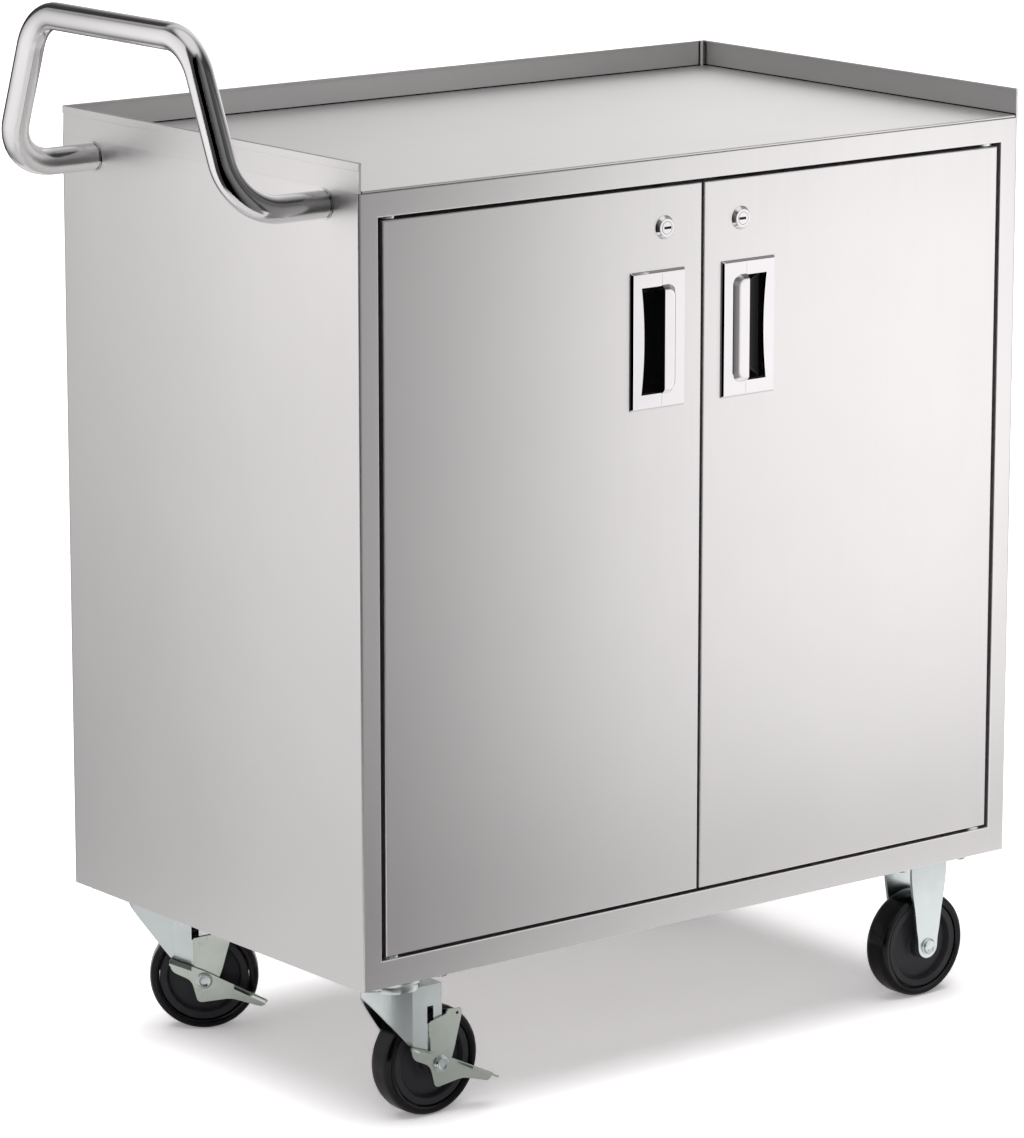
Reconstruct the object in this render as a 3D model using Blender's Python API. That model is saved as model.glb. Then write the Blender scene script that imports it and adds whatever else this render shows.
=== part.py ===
"""Enclosed utility cart: a sheet metal cabinet with two pivoted doors, a hemmed tray top,
a bent tube push handle, two braked swivel casters and two rigid ones. Metres, +Z up.
The cart stands on z = 0, its front faces -Y and the push handle is on its -X side."""

import math

import bmesh
import bpy
from mathutils import Matrix, Vector

GAP = 0.0003
WELD = 0.00001
CUT_MARGIN = 0.002

# Whole cart
BODY_WIDTH = 0.775
BODY_DEPTH = 0.460
BODY_HEIGHT = 0.720
LIP_HEIGHT = 0.025
MIDDLE_X = BODY_WIDTH / 2

# Sheet metal
PANEL_SHEET = 0.0012
FRAME_SHEET = 0.0015
DECK_SHEET = 0.002
LIP_SHEET = 0.003
CHANNEL_SHEET = 0.0025
DECK_UNDERSIDE = BODY_HEIGHT - DECK_SHEET
SHELL_TOP = DECK_UNDERSIDE - GAP

# Doors and the frame round them; the doors are flush with the frame, front and back
DOOR_THICKNESS = 0.018
DOOR_SHEET = 0.0012
DOOR_SIDE_GAP = 0.00475
DOOR_END_GAP = 0.003
MEETING_GAP = 0.003
FRAME_DEPTH = DOOR_THICKNESS
STILE_WIDTH = 0.021
TOP_RAIL_HEIGHT = 0.025
BOTTOM_RAIL_TOP = 0.026
TOP_RAIL_UNDERSIDE = BODY_HEIGHT - TOP_RAIL_HEIGHT
DOOR_BOTTOM = BOTTOM_RAIL_TOP + DOOR_END_GAP
DOOR_TOP = TOP_RAIL_UNDERSIDE - DOOR_END_GAP
HALF_THICKNESS = DOOR_THICKNESS / 2
LINER_FACE = HALF_THICKNESS - DOOR_SHEET

# Door pivots; a door's own frame has its origin on the pivot axis at the body's underside
PIVOT_INSET = 0.015
PIVOT_X = STILE_WIDTH + PIVOT_INSET
HINGE_EDGE = PIVOT_INSET - DOOR_SIDE_GAP
MIDDLE_REACH = MIDDLE_X - PIVOT_X
FREE_EDGE = MIDDLE_REACH - MEETING_GAP / 2
PIN_RADIUS = 0.003
PIN_COLLAR_RADIUS = 0.006
PIN_COLLAR_LENGTH = 0.020
PIN_REACH = 0.005
PIN_CLEARANCE = 0.0004
BUSH_RADIUS = 0.0052
BUSH_FLANGE_RADIUS = 0.008
BUSH_TAIL = 0.004
BUSH_CLEARANCE = 0.0005

# Shelf and the angles that carry it
SHELF_TOP = 0.355
SHELF_FLANGE = 0.020
SHELF_FRONT_PLAY = 0.006
SHELF_BACK_PLAY = 0.0038
SHELF_END_PLAY = 0.0028
SHELF_RAIL_HEIGHT = 0.022
SHELF_RAIL_REACH = 0.016
SHELF_RAIL_END_PLAY = 0.010

# Push handle
TUBE_RADIUS = 0.0127
TUBE_SIDES_SETTING = 4
HANDLE_REACH = 0.110
LEG_INSET = 0.051
LEG_DROP = 0.017
UPRIGHT_LEAN = 0.0033
GRIP_TAPER = 0.0585
GRIP_RISE = 0.128
BEND_RADIUS = 0.048
BEND_STEPS = 7
STUD_RADIUS = 0.004
STUD_DEPTH = 0.018
STUD_CLEARANCE = 0.0004
FIXING_WASHER_RADIUS = 0.011
FIXING_WASHER_THICKNESS = 0.0015
FIXING_NUT_RADIUS = 0.0075
FIXING_NUT_THICKNESS = 0.006
ROUND_SIDES = 16
SMALL_SIDES = 12
HEX_SIDES = 6
SHARP_ANGLE = math.radians(35)

# Pulls let into the doors
PULL_INSET = 0.0535
PULL_DROP = 0.1385
PULL_HEIGHT = DOOR_TOP - PULL_DROP
PULL_PROUD = 0.0075
BEZEL_WIDTH = 0.064
BEZEL_HEIGHT = 0.127
BEZEL_THICKNESS = 0.0027
RECESS_MARGIN = 0.0125
RECESS_END_MARGIN = 0.015
HOOD_MARGIN = 0.0138
HOOD_WIDTH = 0.0147
RECESS_WIDTH = BEZEL_WIDTH - RECESS_MARGIN - HOOD_MARGIN
RECESS_HEIGHT = BEZEL_HEIGHT - 2 * RECESS_END_MARGIN
PULL_SHEET = 0.0015
CUP_DEPTH = 0.013

# Cam locks above the pulls; a locked cam reaches behind the top rail
LOCK_INSET = 0.045
LOCK_DROP = 0.037
LOCK_HEIGHT = DOOR_TOP - LOCK_DROP
LOCK_FACE_RADIUS = 0.011
LOCK_FACE_THICKNESS = 0.0022
BARREL_RADIUS = 0.009
BARREL_TAIL = 0.001
PLUG_RADIUS = 0.0057
BORE_RADIUS = PLUG_RADIUS + GAP
PLUG_PROUD = 0.0007
KEYWAY_LENGTH = 0.008
KEYWAY_WIDTH = 0.002
KEYWAY_DEPTH = 0.004
CAM_GAP = 0.0015
CAM_THICKNESS = 0.002
CAM_HOLD = 0.006
CAM_LENGTH = LOCK_DROP + DOOR_END_GAP + CAM_HOLD
CAM_HALF_WIDTH = 0.008
CAM_STEM_RADIUS = 0.003
CAM_SCREW_RADIUS = 0.005
CAM_SCREW_THICKNESS = 0.0015

# Double magnetic catch behind the top rail, over the meeting edges of the doors
CATCH_WIDTH = 0.060
CATCH_DEPTH = 0.0137
CATCH_OVERLAP = 0.017
CATCH_HOLD = 0.016
CATCH_CHAMFER = 0.006

# Wheels
WHEEL_RADIUS = 0.052
WHEEL_SIDES = 24
TREAD_DEPTH = 0.0094
TREAD_HALF_WIDTH = 0.0145
SHOULDER = 0.0055
SHOULDER_DROP = 0.003
RIM_RADIUS = WHEEL_RADIUS - TREAD_DEPTH
RIM_THICKNESS = 0.0074
RIM_SETBACK = 0.0025
RIM_HALF_WIDTH = TREAD_HALF_WIDTH - RIM_SETBACK
WEB_HALF_WIDTH = 0.007
HUB_PROUD = 0.002
HUB_HALF_WIDTH = TREAD_HALF_WIDTH + HUB_PROUD
HUB_RADIUS = 0.013

# Casters; a caster's own frame has its origin above its middle at the body's underside
CASTER_INSET_X = 0.070
CASTER_INSET_Y = 0.050
TRAIL = 0.035
BACK_LEFT_TURN = math.radians(-35)
PLATE_LENGTH = 0.095
PLATE_WIDTH = 0.067
PLATE_THICKNESS = 0.0027
BOLT_END_EDGE = 0.010
BOLT_SIDE_EDGE = 0.011
BOLT_SPREAD_X = PLATE_LENGTH / 2 - BOLT_END_EDGE
BOLT_SPREAD_Y = PLATE_WIDTH / 2 - BOLT_SIDE_EDGE
BOLT_RADIUS = 0.004
BOLT_HEAD_RADIUS = 0.0065
BOLT_HEAD_THICKNESS = 0.005
BOLT_CLEARANCE = 0.0003
CHANNEL_MARGIN = 0.0025
CHANNEL_HALF_WIDTH = PLATE_LENGTH / 2 + CHANNEL_MARGIN

# Swivel head, its levels counted down from the body's underside
RACE_RADIUS = 0.027
RACE_DROP = 0.012
LOWER_RACE_RADIUS = 0.024
CROWN_DROP = 0.017
CROWN_THICKNESS = 0.003
CROWN_UNDERSIDE = CROWN_DROP + CROWN_THICKNESS
KINGPIN_RADIUS = 0.006
KINGPIN_CLEARANCE = 0.0005
KINGPIN_HEAD_RADIUS = 0.010
KINGPIN_HEAD_THICKNESS = 0.0024
KINGPIN_NUT_RADIUS = 0.0095
KINGPIN_NUT_THICKNESS = 0.005
WHEEL_HEADROOM = 0.020
AXLE_DROP = CROWN_UNDERSIDE + WHEEL_HEADROOM + WHEEL_RADIUS
BODY_BOTTOM = AXLE_DROP + WHEEL_RADIUS

# Yoke and axle
HUB_CLEARANCE = 0.001
ARM_SHEET = 0.003
ARM_INNER = HUB_HALF_WIDTH + HUB_CLEARANCE
ARM_OUTER = ARM_INNER + ARM_SHEET
CROWN_FRONT = 0.026
CROWN_BACK = 0.003
SKIRT_DEPTH = 0.007
SKIRT_SHARES = ((0.28, 0.18), (0.61, 0.42), (0.87, 0.70))
FOOT_RADIUS = 0.012
FOOT_STEPS = 4
AXLE_RADIUS = 0.005
AXLE_CLEARANCE = 0.0004
AXLE_HEAD_RADIUS = 0.008
AXLE_HEAD_THICKNESS = 0.004

# Brake; the outlines are shares of the plate's height and of the lever's reach, from the axle
BRAKE_SHEET = 0.002
TAB_REACH = 0.012
BRAKE_PLATE_HEIGHT = 0.052
BRAKE_PLATE_SHARES = (
    (-0.18, -0.06), (-0.20, 0.79), (0.15, 0.86), (0.19, 0.94), (0.51, 0.92),
    (0.50, 0.80), (0.40, 0.44), (0.33, 0.17), (0.21, -0.12), (0.0, -0.21),
)
LEVER_REACH = 0.063
LEVER_SHARES = (
    (-0.54, 0.35), (0.0, 0.15), (0.40, -0.05), (0.97, -0.33), (0.87, -0.43),
    (0.40, -0.285), (-0.10, -0.35), (-0.19, 0.0), (-0.49, 0.145),
)
FRONT_TAB_SHARES = ((-0.52, 0.33), (-0.19, 0.205))
BACK_TAB_SHARES = ((0.45, -0.09), (0.92, -0.32))

# Rigid fork, its waist a share of the way down to the axle
FORK_TOP_HALF_WIDTH = 0.0225
FORK_WAIST_HALF_WIDTH = 0.017
FORK_WAIST_SHARE = 0.6

# Colour, metallic and roughness of each finish
STEEL = ((0.62, 0.62, 0.61), 1.0, 0.34)
POLISHED = ((0.78, 0.78, 0.78), 1.0, 0.10)
CHROME = ((0.86, 0.86, 0.87), 1.0, 0.06)
ZINC = ((0.55, 0.58, 0.58), 1.0, 0.32)
YELLOW_ZINC = ((0.58, 0.57, 0.47), 1.0, 0.34)
RUBBER = ((0.015, 0.015, 0.015), 0.0, 0.38)
GREY_PLASTIC = ((0.18, 0.18, 0.19), 0.0, 0.45)
BLACK_PLASTIC = ((0.02, 0.02, 0.02), 0.0, 0.50)


def clear_scene():
    """Remove whatever the file opened with."""
    for item in list(bpy.data.objects):
        bpy.data.objects.remove(item, do_unlink=True)


def make_material(name, finish):
    """A Principled material with its colour, metallic and roughness."""
    colour, metallic, roughness = finish
    material = bpy.data.materials.new(name)
    material.use_nodes = True
    shader = material.node_tree.nodes["Principled BSDF"]
    shader.inputs["Base Color"].default_value = (*colour, 1)
    shader.inputs["Metallic"].default_value = metallic
    shader.inputs["Roughness"].default_value = roughness
    return material


def add_empty(name, location, parent=None, turn=0):
    """An empty that carries a group of pieces, or stands on a joint's axis."""
    empty = bpy.data.objects.new(name, None)
    empty.location = location
    empty.rotation_euler = (0, 0, turn)
    empty.parent = parent
    bpy.context.collection.objects.link(empty)
    return empty


def add_box(solid, low, high):
    """Add a closed box between two opposite corners."""
    low, high = Vector(low), Vector(high)
    size = [abs(length) for length in high - low]
    place = Matrix.Translation((low + high) / 2) @ Matrix.Diagonal((*size, 1))
    bmesh.ops.create_cube(solid, size=1, matrix=place)


def add_prism(solid, outline, axis, start, end):
    """Add an outline, given in the two other coordinates, drawn out along an axis."""
    rings = []
    for level in (start, end):
        points = [list(pair) for pair in outline]
        for point in points:
            point.insert("XYZ".index(axis), level)
        rings.append([solid.verts.new(point) for point in points])
        solid.faces.new(rings[-1])
    bridge(solid, *rings)


def bridge(solid, first, second):
    """Join two rings of the same number of points with quads."""
    for index in range(len(first)):
        before = index - 1
        solid.faces.new((first[before], first[index], second[index], second[before]))


def add_turned(solid, profile, axis, sides, centre=(0, 0, 0), hollow=False):
    """Turn (radius, level) points about an axis; a hollow profile closes on itself."""
    rings = []
    for radius, level in profile:
        ring = []
        for index in range(sides):
            angle = math.tau * (index + 0.5) / sides
            point = [radius * math.cos(angle), radius * math.sin(angle)]
            point.insert("XYZ".index(axis), level)
            ring.append(solid.verts.new(Vector(centre) + Vector(point)))
        rings.append(ring)
    for first, second in zip(rings, rings[1:]):
        bridge(solid, first, second)
    if hollow:
        bridge(solid, rings[-1], rings[0])
    else:
        solid.faces.new(rings[0])
        solid.faces.new(rings[-1])


def around(radius, sides):
    """The corner radius of a polygon whose flats stand at the given radius."""
    return radius / math.cos(math.pi / sides)


def add_bore(solid, radius, axis, centre, start, end, sides=SMALL_SIDES):
    """Add a cutter for a round hole, its flats at the hole's radius."""
    corner = around(radius, sides)
    add_turned(solid, ((corner, start), (corner, end)), axis, sides, centre)


def place_mesh(name, solid, parent):
    """Close up a built solid and link it as an object below its parent."""
    bmesh.ops.recalc_face_normals(solid, faces=solid.faces)
    mesh = bpy.data.meshes.new(name)
    solid.to_mesh(mesh)
    solid.free()
    piece = bpy.data.objects.new(name, mesh)
    piece.parent = parent
    bpy.context.collection.objects.link(piece)
    return piece


def add_piece(name, solid, finish, parent, smooth=False):
    """Make one named sub-part with its own material."""
    piece = place_mesh(name, solid, parent)
    piece.data.materials.append(make_material(name, finish))
    if smooth:
        piece.data.shade_smooth()
        piece.data.set_sharp_from_angle(angle=SHARP_ANGLE)
    return piece


def combine(piece, solid, operation):
    """Cut a solid from a piece, or join one to it, with an exact Boolean."""
    order = len(piece.modifiers) + 1
    tool = place_mesh(f"{piece.name}_{operation.lower()}_{order}", solid, piece.parent)
    tool.hide_render = True
    tool.display_type = "WIRE"
    change = piece.modifiers.new(tool.name, "BOOLEAN")
    change.operation = operation
    change.solver = "EXACT"
    change.object = tool


def channel(width_start, width_end, depth_start, depth_end, sheet):
    """The outline of a U-shaped fold, its web at depth_start and open at depth_end."""
    inward = math.copysign(sheet, depth_end - depth_start)
    return (
        (width_start, depth_start), (width_end, depth_start), (width_end, depth_end),
        (width_end - sheet, depth_end), (width_end - sheet, depth_start + inward),
        (width_start + sheet, depth_start + inward), (width_start + sheet, depth_end),
        (width_start, depth_end),
    )


def build_worktop(cabinet):
    """The deck, with a hemmed lip on three sides and an open front."""
    solid = bmesh.new()
    add_box(solid, (0, 0, DECK_UNDERSIDE), (BODY_WIDTH, BODY_DEPTH, BODY_HEIGHT + LIP_HEIGHT))
    tray = bmesh.new()
    add_box(
        tray,
        (LIP_SHEET, -CUT_MARGIN, BODY_HEIGHT),
        (BODY_WIDTH - LIP_SHEET, BODY_DEPTH - LIP_SHEET, BODY_HEIGHT + LIP_HEIGHT + CUT_MARGIN),
    )
    worktop = add_piece("worktop", solid, STEEL, cabinet)
    combine(worktop, tray, "DIFFERENCE")


def build_panels(cabinet):
    """The two sides, the back and the floor."""
    panel_start = FRAME_DEPTH + GAP
    panel_end = BODY_DEPTH - PANEL_SHEET - GAP
    for name, outer, inner in (
        ("left_side_panel", 0, PANEL_SHEET),
        ("right_side_panel", BODY_WIDTH, BODY_WIDTH - PANEL_SHEET),
    ):
        solid = bmesh.new()
        add_box(solid, (outer, panel_start, 0), (inner, panel_end, SHELL_TOP))
        panel = add_piece(name, solid, STEEL, cabinet)
        if outer == 0:
            holes = bmesh.new()
            for _, centre in leg_places():
                reach = PANEL_SHEET + CUT_MARGIN
                add_bore(holes, STUD_RADIUS + STUD_CLEARANCE, "X", centre, -CUT_MARGIN, reach)
            combine(panel, holes, "DIFFERENCE")
    solid = bmesh.new()
    add_box(solid, (0, BODY_DEPTH - PANEL_SHEET, 0), (BODY_WIDTH, BODY_DEPTH, SHELL_TOP))
    add_piece("back_panel", solid, STEEL, cabinet)
    solid = bmesh.new()
    end_gap = PANEL_SHEET + GAP
    add_box(
        solid,
        (end_gap, panel_start, BOTTOM_RAIL_TOP - FRAME_SHEET),
        (BODY_WIDTH - end_gap, panel_end, BOTTOM_RAIL_TOP),
    )
    add_piece("floor_panel", solid, STEEL, cabinet)


def build_front_frame(cabinet):
    """Two stiles and two rails, each a folded channel, with the door pivots' bushes in the rails."""
    for name, start in (("left_stile", 0), ("right_stile", BODY_WIDTH - STILE_WIDTH)):
        solid = bmesh.new()
        outline = channel(start, start + STILE_WIDTH, 0, FRAME_DEPTH, FRAME_SHEET)
        add_prism(solid, outline, "Z", 0, SHELL_TOP)
        add_piece(name, solid, STEEL, cabinet)
    for name, web, rim, door_edge in (
        ("top_rail", TOP_RAIL_UNDERSIDE, SHELL_TOP, DOOR_TOP),
        ("bottom_rail", BOTTOM_RAIL_TOP, 0, DOOR_BOTTOM),
    ):
        solid = bmesh.new()
        outline = channel(0, FRAME_DEPTH, web, rim, FRAME_SHEET)
        add_prism(solid, outline, "X", STILE_WIDTH + GAP, BODY_WIDTH - STILE_WIDTH - GAP)
        rail = add_piece(name, solid, STEEL, cabinet)
        way = math.copysign(1, web - door_edge)
        face = door_edge + way * BUSH_CLEARANCE
        shoulder = web + way * FRAME_SHEET / 2
        tail = web + way * BUSH_TAIL
        bushes = bmesh.new()
        bores = bmesh.new()
        for pivot in (PIVOT_X, BODY_WIDTH - PIVOT_X):
            centre = (pivot, HALF_THICKNESS, 0)
            profile = (
                (BUSH_FLANGE_RADIUS, face), (BUSH_FLANGE_RADIUS, shoulder),
                (BUSH_RADIUS, shoulder), (BUSH_RADIUS, tail),
            )
            add_turned(bushes, profile, "Z", SMALL_SIDES, centre)
            start, end = face - way * CUT_MARGIN, tail + way * CUT_MARGIN
            add_bore(bores, PIN_RADIUS + PIN_CLEARANCE, "Z", centre, start, end)
        combine(rail, bushes, "UNION")
        combine(rail, bores, "DIFFERENCE")


def build_shelf(cabinet):
    """A folded shelf and the two angles that carry its ends."""
    solid = bmesh.new()
    shelf_front = FRAME_DEPTH + SHELF_FRONT_PLAY
    shelf_back = BODY_DEPTH - PANEL_SHEET - SHELF_BACK_PLAY
    shelf_end = PANEL_SHEET + SHELF_END_PLAY
    outline = channel(shelf_front, shelf_back, SHELF_TOP, SHELF_TOP - SHELF_FLANGE, FRAME_SHEET)
    add_prism(solid, outline, "X", shelf_end, BODY_WIDTH - shelf_end)
    add_piece("shelf", solid, STEEL, cabinet)
    top = SHELF_TOP - FRAME_SHEET - GAP
    foot = top - SHELF_RAIL_HEIGHT
    start = shelf_front + FRAME_SHEET + SHELF_RAIL_END_PLAY
    end = shelf_back - FRAME_SHEET - SHELF_RAIL_END_PLAY
    for side, face, way in (
        ("left", PANEL_SHEET + GAP, 1), ("right", BODY_WIDTH - PANEL_SHEET - GAP, -1),
    ):
        web = face + way * FRAME_SHEET
        tip = face + way * SHELF_RAIL_REACH
        outline = (
            (face, foot), (web, foot), (web, top - FRAME_SHEET), (tip, top - FRAME_SHEET),
            (tip, top), (face, top),
        )
        solid = bmesh.new()
        add_prism(solid, outline, "Y", start, end)
        add_piece(f"{side}_shelf_rail", solid, STEEL, cabinet)


def rounded_path(corners, radius, steps):
    """The corner points of a path with each inner corner replaced by an arc."""
    path = [corners[0]]
    for before, corner, after in zip(corners, corners[1:], corners[2:]):
        inward = (before - corner).normalized()
        outward = (after - corner).normalized()
        half_angle = inward.angle(outward) / 2
        middle = corner + (inward + outward).normalized() * (radius / math.sin(half_angle))
        first = (corner + inward * (radius / math.tan(half_angle)) - middle).normalized()
        last = (corner + outward * (radius / math.tan(half_angle)) - middle).normalized()
        for step in range(steps + 1):
            path.append(middle + first.slerp(last, step / steps) * radius)
    path.append(corners[-1])
    return path


def leg_places():
    """The name of each of the handle's legs and the point where it meets the side."""
    height = BODY_HEIGHT - LEG_DROP
    return (("front", (0, LEG_INSET, height)), ("back", (0, BODY_DEPTH - LEG_INSET, height)))


def handle_corners():
    """The corners of the handle's centre line, from one leg's foot to the other's."""
    leg_height = BODY_HEIGHT - LEG_DROP
    grip_height = BODY_HEIGHT + GRIP_RISE
    grip_x = TUBE_RADIUS - HANDLE_REACH
    elbow_x = grip_x + UPRIGHT_LEAN
    corners = []
    for y, inward in ((LEG_INSET, 1), (BODY_DEPTH - LEG_INSET, -1)):
        side = [
            Vector((-GAP, y, leg_height)),
            Vector((elbow_x, y, leg_height)),
            Vector((grip_x, y + inward * GRIP_TAPER, grip_height)),
        ]
        corners += side if inward > 0 else reversed(side)
    return corners


def build_handle(cabinet):
    """The bent tube, bored at its feet, and the two studs that hold it to the side."""
    path = rounded_path(handle_corners(), BEND_RADIUS, BEND_STEPS)
    curve = bpy.data.curves.new("push_handle_path", "CURVE")
    curve.dimensions = "3D"
    curve.bevel_depth = TUBE_RADIUS
    curve.bevel_resolution = TUBE_SIDES_SETTING
    curve.use_fill_caps = True
    spline = curve.splines.new("POLY")
    spline.points.add(len(path) - 1)
    for point, place in zip(spline.points, path):
        point.co = (*place, 1)
    guide = bpy.data.objects.new("push_handle_path", curve)
    solid = bmesh.new()
    solid.from_mesh(bpy.data.meshes.new_from_object(guide))
    bpy.data.objects.remove(guide)
    bmesh.ops.remove_doubles(solid, verts=solid.verts, dist=WELD)
    handle = add_piece("push_handle", solid, POLISHED, cabinet, smooth=True)
    bores = bmesh.new()
    nut_face = PANEL_SHEET + GAP + FIXING_WASHER_THICKNESS
    for name, centre in leg_places():
        bore_end = -STUD_DEPTH - CUT_MARGIN
        add_bore(bores, STUD_RADIUS + STUD_CLEARANCE, "X", centre, bore_end, CUT_MARGIN)
        profile = (
            (STUD_RADIUS, -STUD_DEPTH), (STUD_RADIUS, PANEL_SHEET + GAP),
            (FIXING_WASHER_RADIUS, PANEL_SHEET + GAP), (FIXING_WASHER_RADIUS, nut_face),
            (FIXING_NUT_RADIUS, nut_face), (FIXING_NUT_RADIUS, nut_face + FIXING_NUT_THICKNESS),
        )
        stud = bmesh.new()
        add_turned(stud, profile, "X", SMALL_SIDES, centre)
        add_piece(f"{name}_handle_stud", stud, ZINC, cabinet, smooth=True)
    combine(handle, bores, "DIFFERENCE")


def build_door_catch(cabinet):
    """A double magnetic catch on the back of the top rail, its face behind both doors."""
    face = FRAME_DEPTH + GAP
    back = face + CATCH_DEPTH
    top = TOP_RAIL_UNDERSIDE + CATCH_OVERLAP
    bottom = DOOR_TOP - CATCH_HOLD
    outline = (
        (face, bottom), (face, top), (back, top),
        (back, bottom + CATCH_CHAMFER), (back - CATCH_CHAMFER, bottom),
    )
    solid = bmesh.new()
    add_prism(solid, outline, "X", MIDDLE_X - CATCH_WIDTH / 2, MIDDLE_X + CATCH_WIDTH / 2)
    add_piece("door_catch", solid, BLACK_PLASTIC, cabinet)


def build_door_shell(side, way, hinge):
    """The folded skin and the flat liner of one door, with their holes."""
    solid = bmesh.new()
    skin_back = LINER_FACE - GAP
    add_box(solid, (-way * HINGE_EDGE, -HALF_THICKNESS, DOOR_BOTTOM), (way * FREE_EDGE, skin_back, DOOR_TOP))
    skin = add_piece(f"{side}_door_skin", solid, STEEL, hinge)
    hollow = bmesh.new()
    add_box(
        hollow,
        (-way * (HINGE_EDGE - DOOR_SHEET), DOOR_SHEET - HALF_THICKNESS, DOOR_BOTTOM + DOOR_SHEET),
        (way * (FREE_EDGE - DOOR_SHEET), skin_back + CUT_MARGIN, DOOR_TOP - DOOR_SHEET),
    )
    combine(skin, hollow, "DIFFERENCE")
    holes = bmesh.new()
    low, high = recess_box(way, GAP + PULL_SHEET)
    reach = DOOR_SHEET + CUT_MARGIN
    front = -HALF_THICKNESS - CUT_MARGIN
    add_box(holes, (low[0], front, low[1]), (high[0], front + CUT_MARGIN + reach, high[1]))
    lock = (way * (MIDDLE_REACH - LOCK_INSET), 0, LOCK_HEIGHT)
    add_bore(holes, BARREL_RADIUS + GAP, "Y", lock, front, front + CUT_MARGIN + reach, ROUND_SIDES)
    for edge in (DOOR_BOTTOM, DOOR_TOP):
        add_bore(holes, PIN_RADIUS + PIN_CLEARANCE, "Z", (0, 0, edge), -reach, reach)
    combine(skin, holes, "DIFFERENCE")
    solid = bmesh.new()
    add_box(solid, (-way * HINGE_EDGE, LINER_FACE, DOOR_BOTTOM), (way * FREE_EDGE, HALF_THICKNESS, DOOR_TOP))
    liner = add_piece(f"{side}_door_liner", solid, STEEL, hinge)
    hole = bmesh.new()
    add_bore(hole, BARREL_RADIUS + GAP, "Y", lock, 0, HALF_THICKNESS + CUT_MARGIN, ROUND_SIDES)
    combine(liner, hole, "DIFFERENCE")


def recess_box(way, grow):
    """The pull's opening in the door's plane, as two (x, z) corners, grown by a margin."""
    near = MIDDLE_REACH - PULL_INSET - BEZEL_WIDTH / 2 + RECESS_MARGIN
    low = (way * (near - grow), PULL_HEIGHT - RECESS_HEIGHT / 2 - grow)
    high = (way * (near + RECESS_WIDTH + grow), PULL_HEIGHT + RECESS_HEIGHT / 2 + grow)
    return low, high


def build_pull(side, way, hinge):
    """The bezel with its hood, and the cup that closes the recess behind it."""
    low, high = recess_box(way, 0)
    plate_back = -HALF_THICKNESS - GAP
    plate_front = plate_back - BEZEL_THICKNESS
    proud = -HALF_THICKNESS - PULL_PROUD
    centre = MIDDLE_REACH - PULL_INSET
    solid = bmesh.new()
    add_box(
        solid,
        (way * (centre - BEZEL_WIDTH / 2), plate_front, PULL_HEIGHT - BEZEL_HEIGHT / 2),
        (way * (centre + BEZEL_WIDTH / 2), plate_back, PULL_HEIGHT + BEZEL_HEIGHT / 2),
    )
    bezel = add_piece(f"{side}_pull_bezel", solid, CHROME, hinge)
    hood = bmesh.new()
    hood_near = high[0] - way * HOOD_WIDTH
    hood_far = high[0] + way * PULL_SHEET
    sheet = PULL_SHEET
    add_box(
        hood,
        (hood_near, proud, low[1] - sheet),
        (hood_far, (plate_front + plate_back) / 2, high[1] + sheet),
    )
    combine(bezel, hood, "UNION")
    inside = bmesh.new()
    add_box(
        inside,
        (hood_near - way * CUT_MARGIN, proud + PULL_SHEET, low[1]),
        (high[0], plate_back + CUT_MARGIN, high[1]),
    )
    combine(bezel, inside, "DIFFERENCE")
    window = bmesh.new()
    add_box(
        window,
        (low[0], proud - CUT_MARGIN, low[1]),
        (hood_near, plate_back + CUT_MARGIN, high[1]),
    )
    combine(bezel, window, "DIFFERENCE")
    outer_low, outer_high = recess_box(way, PULL_SHEET)
    cup_back = plate_back + GAP + CUP_DEPTH
    solid = bmesh.new()
    add_box(solid, (outer_low[0], plate_back + GAP, outer_low[1]), (outer_high[0], cup_back, outer_high[1]))
    cup = add_piece(f"{side}_pull_cup", solid, BLACK_PLASTIC, hinge)
    hollow = bmesh.new()
    add_box(hollow, (low[0], plate_back - CUT_MARGIN, low[1]), (high[0], cup_back - PULL_SHEET, high[1]))
    combine(cup, hollow, "DIFFERENCE")


def build_pivot_pins(side, hinge):
    """The collared pins at the top and bottom of a door."""
    for name, edge, way in (("upper", DOOR_TOP, 1), ("lower", DOOR_BOTTOM, -1)):
        inner = edge - way * (DOOR_SHEET + GAP)
        profile = (
            (PIN_COLLAR_RADIUS, inner - way * PIN_COLLAR_LENGTH), (PIN_COLLAR_RADIUS, inner),
            (PIN_RADIUS, inner), (PIN_RADIUS, edge + way * (DOOR_END_GAP + PIN_REACH)),
        )
        solid = bmesh.new()
        add_turned(solid, profile, "Z", SMALL_SIDES)
        add_piece(f"{side}_{name}_pivot_pin", solid, ZINC, hinge, smooth=True)


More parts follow.
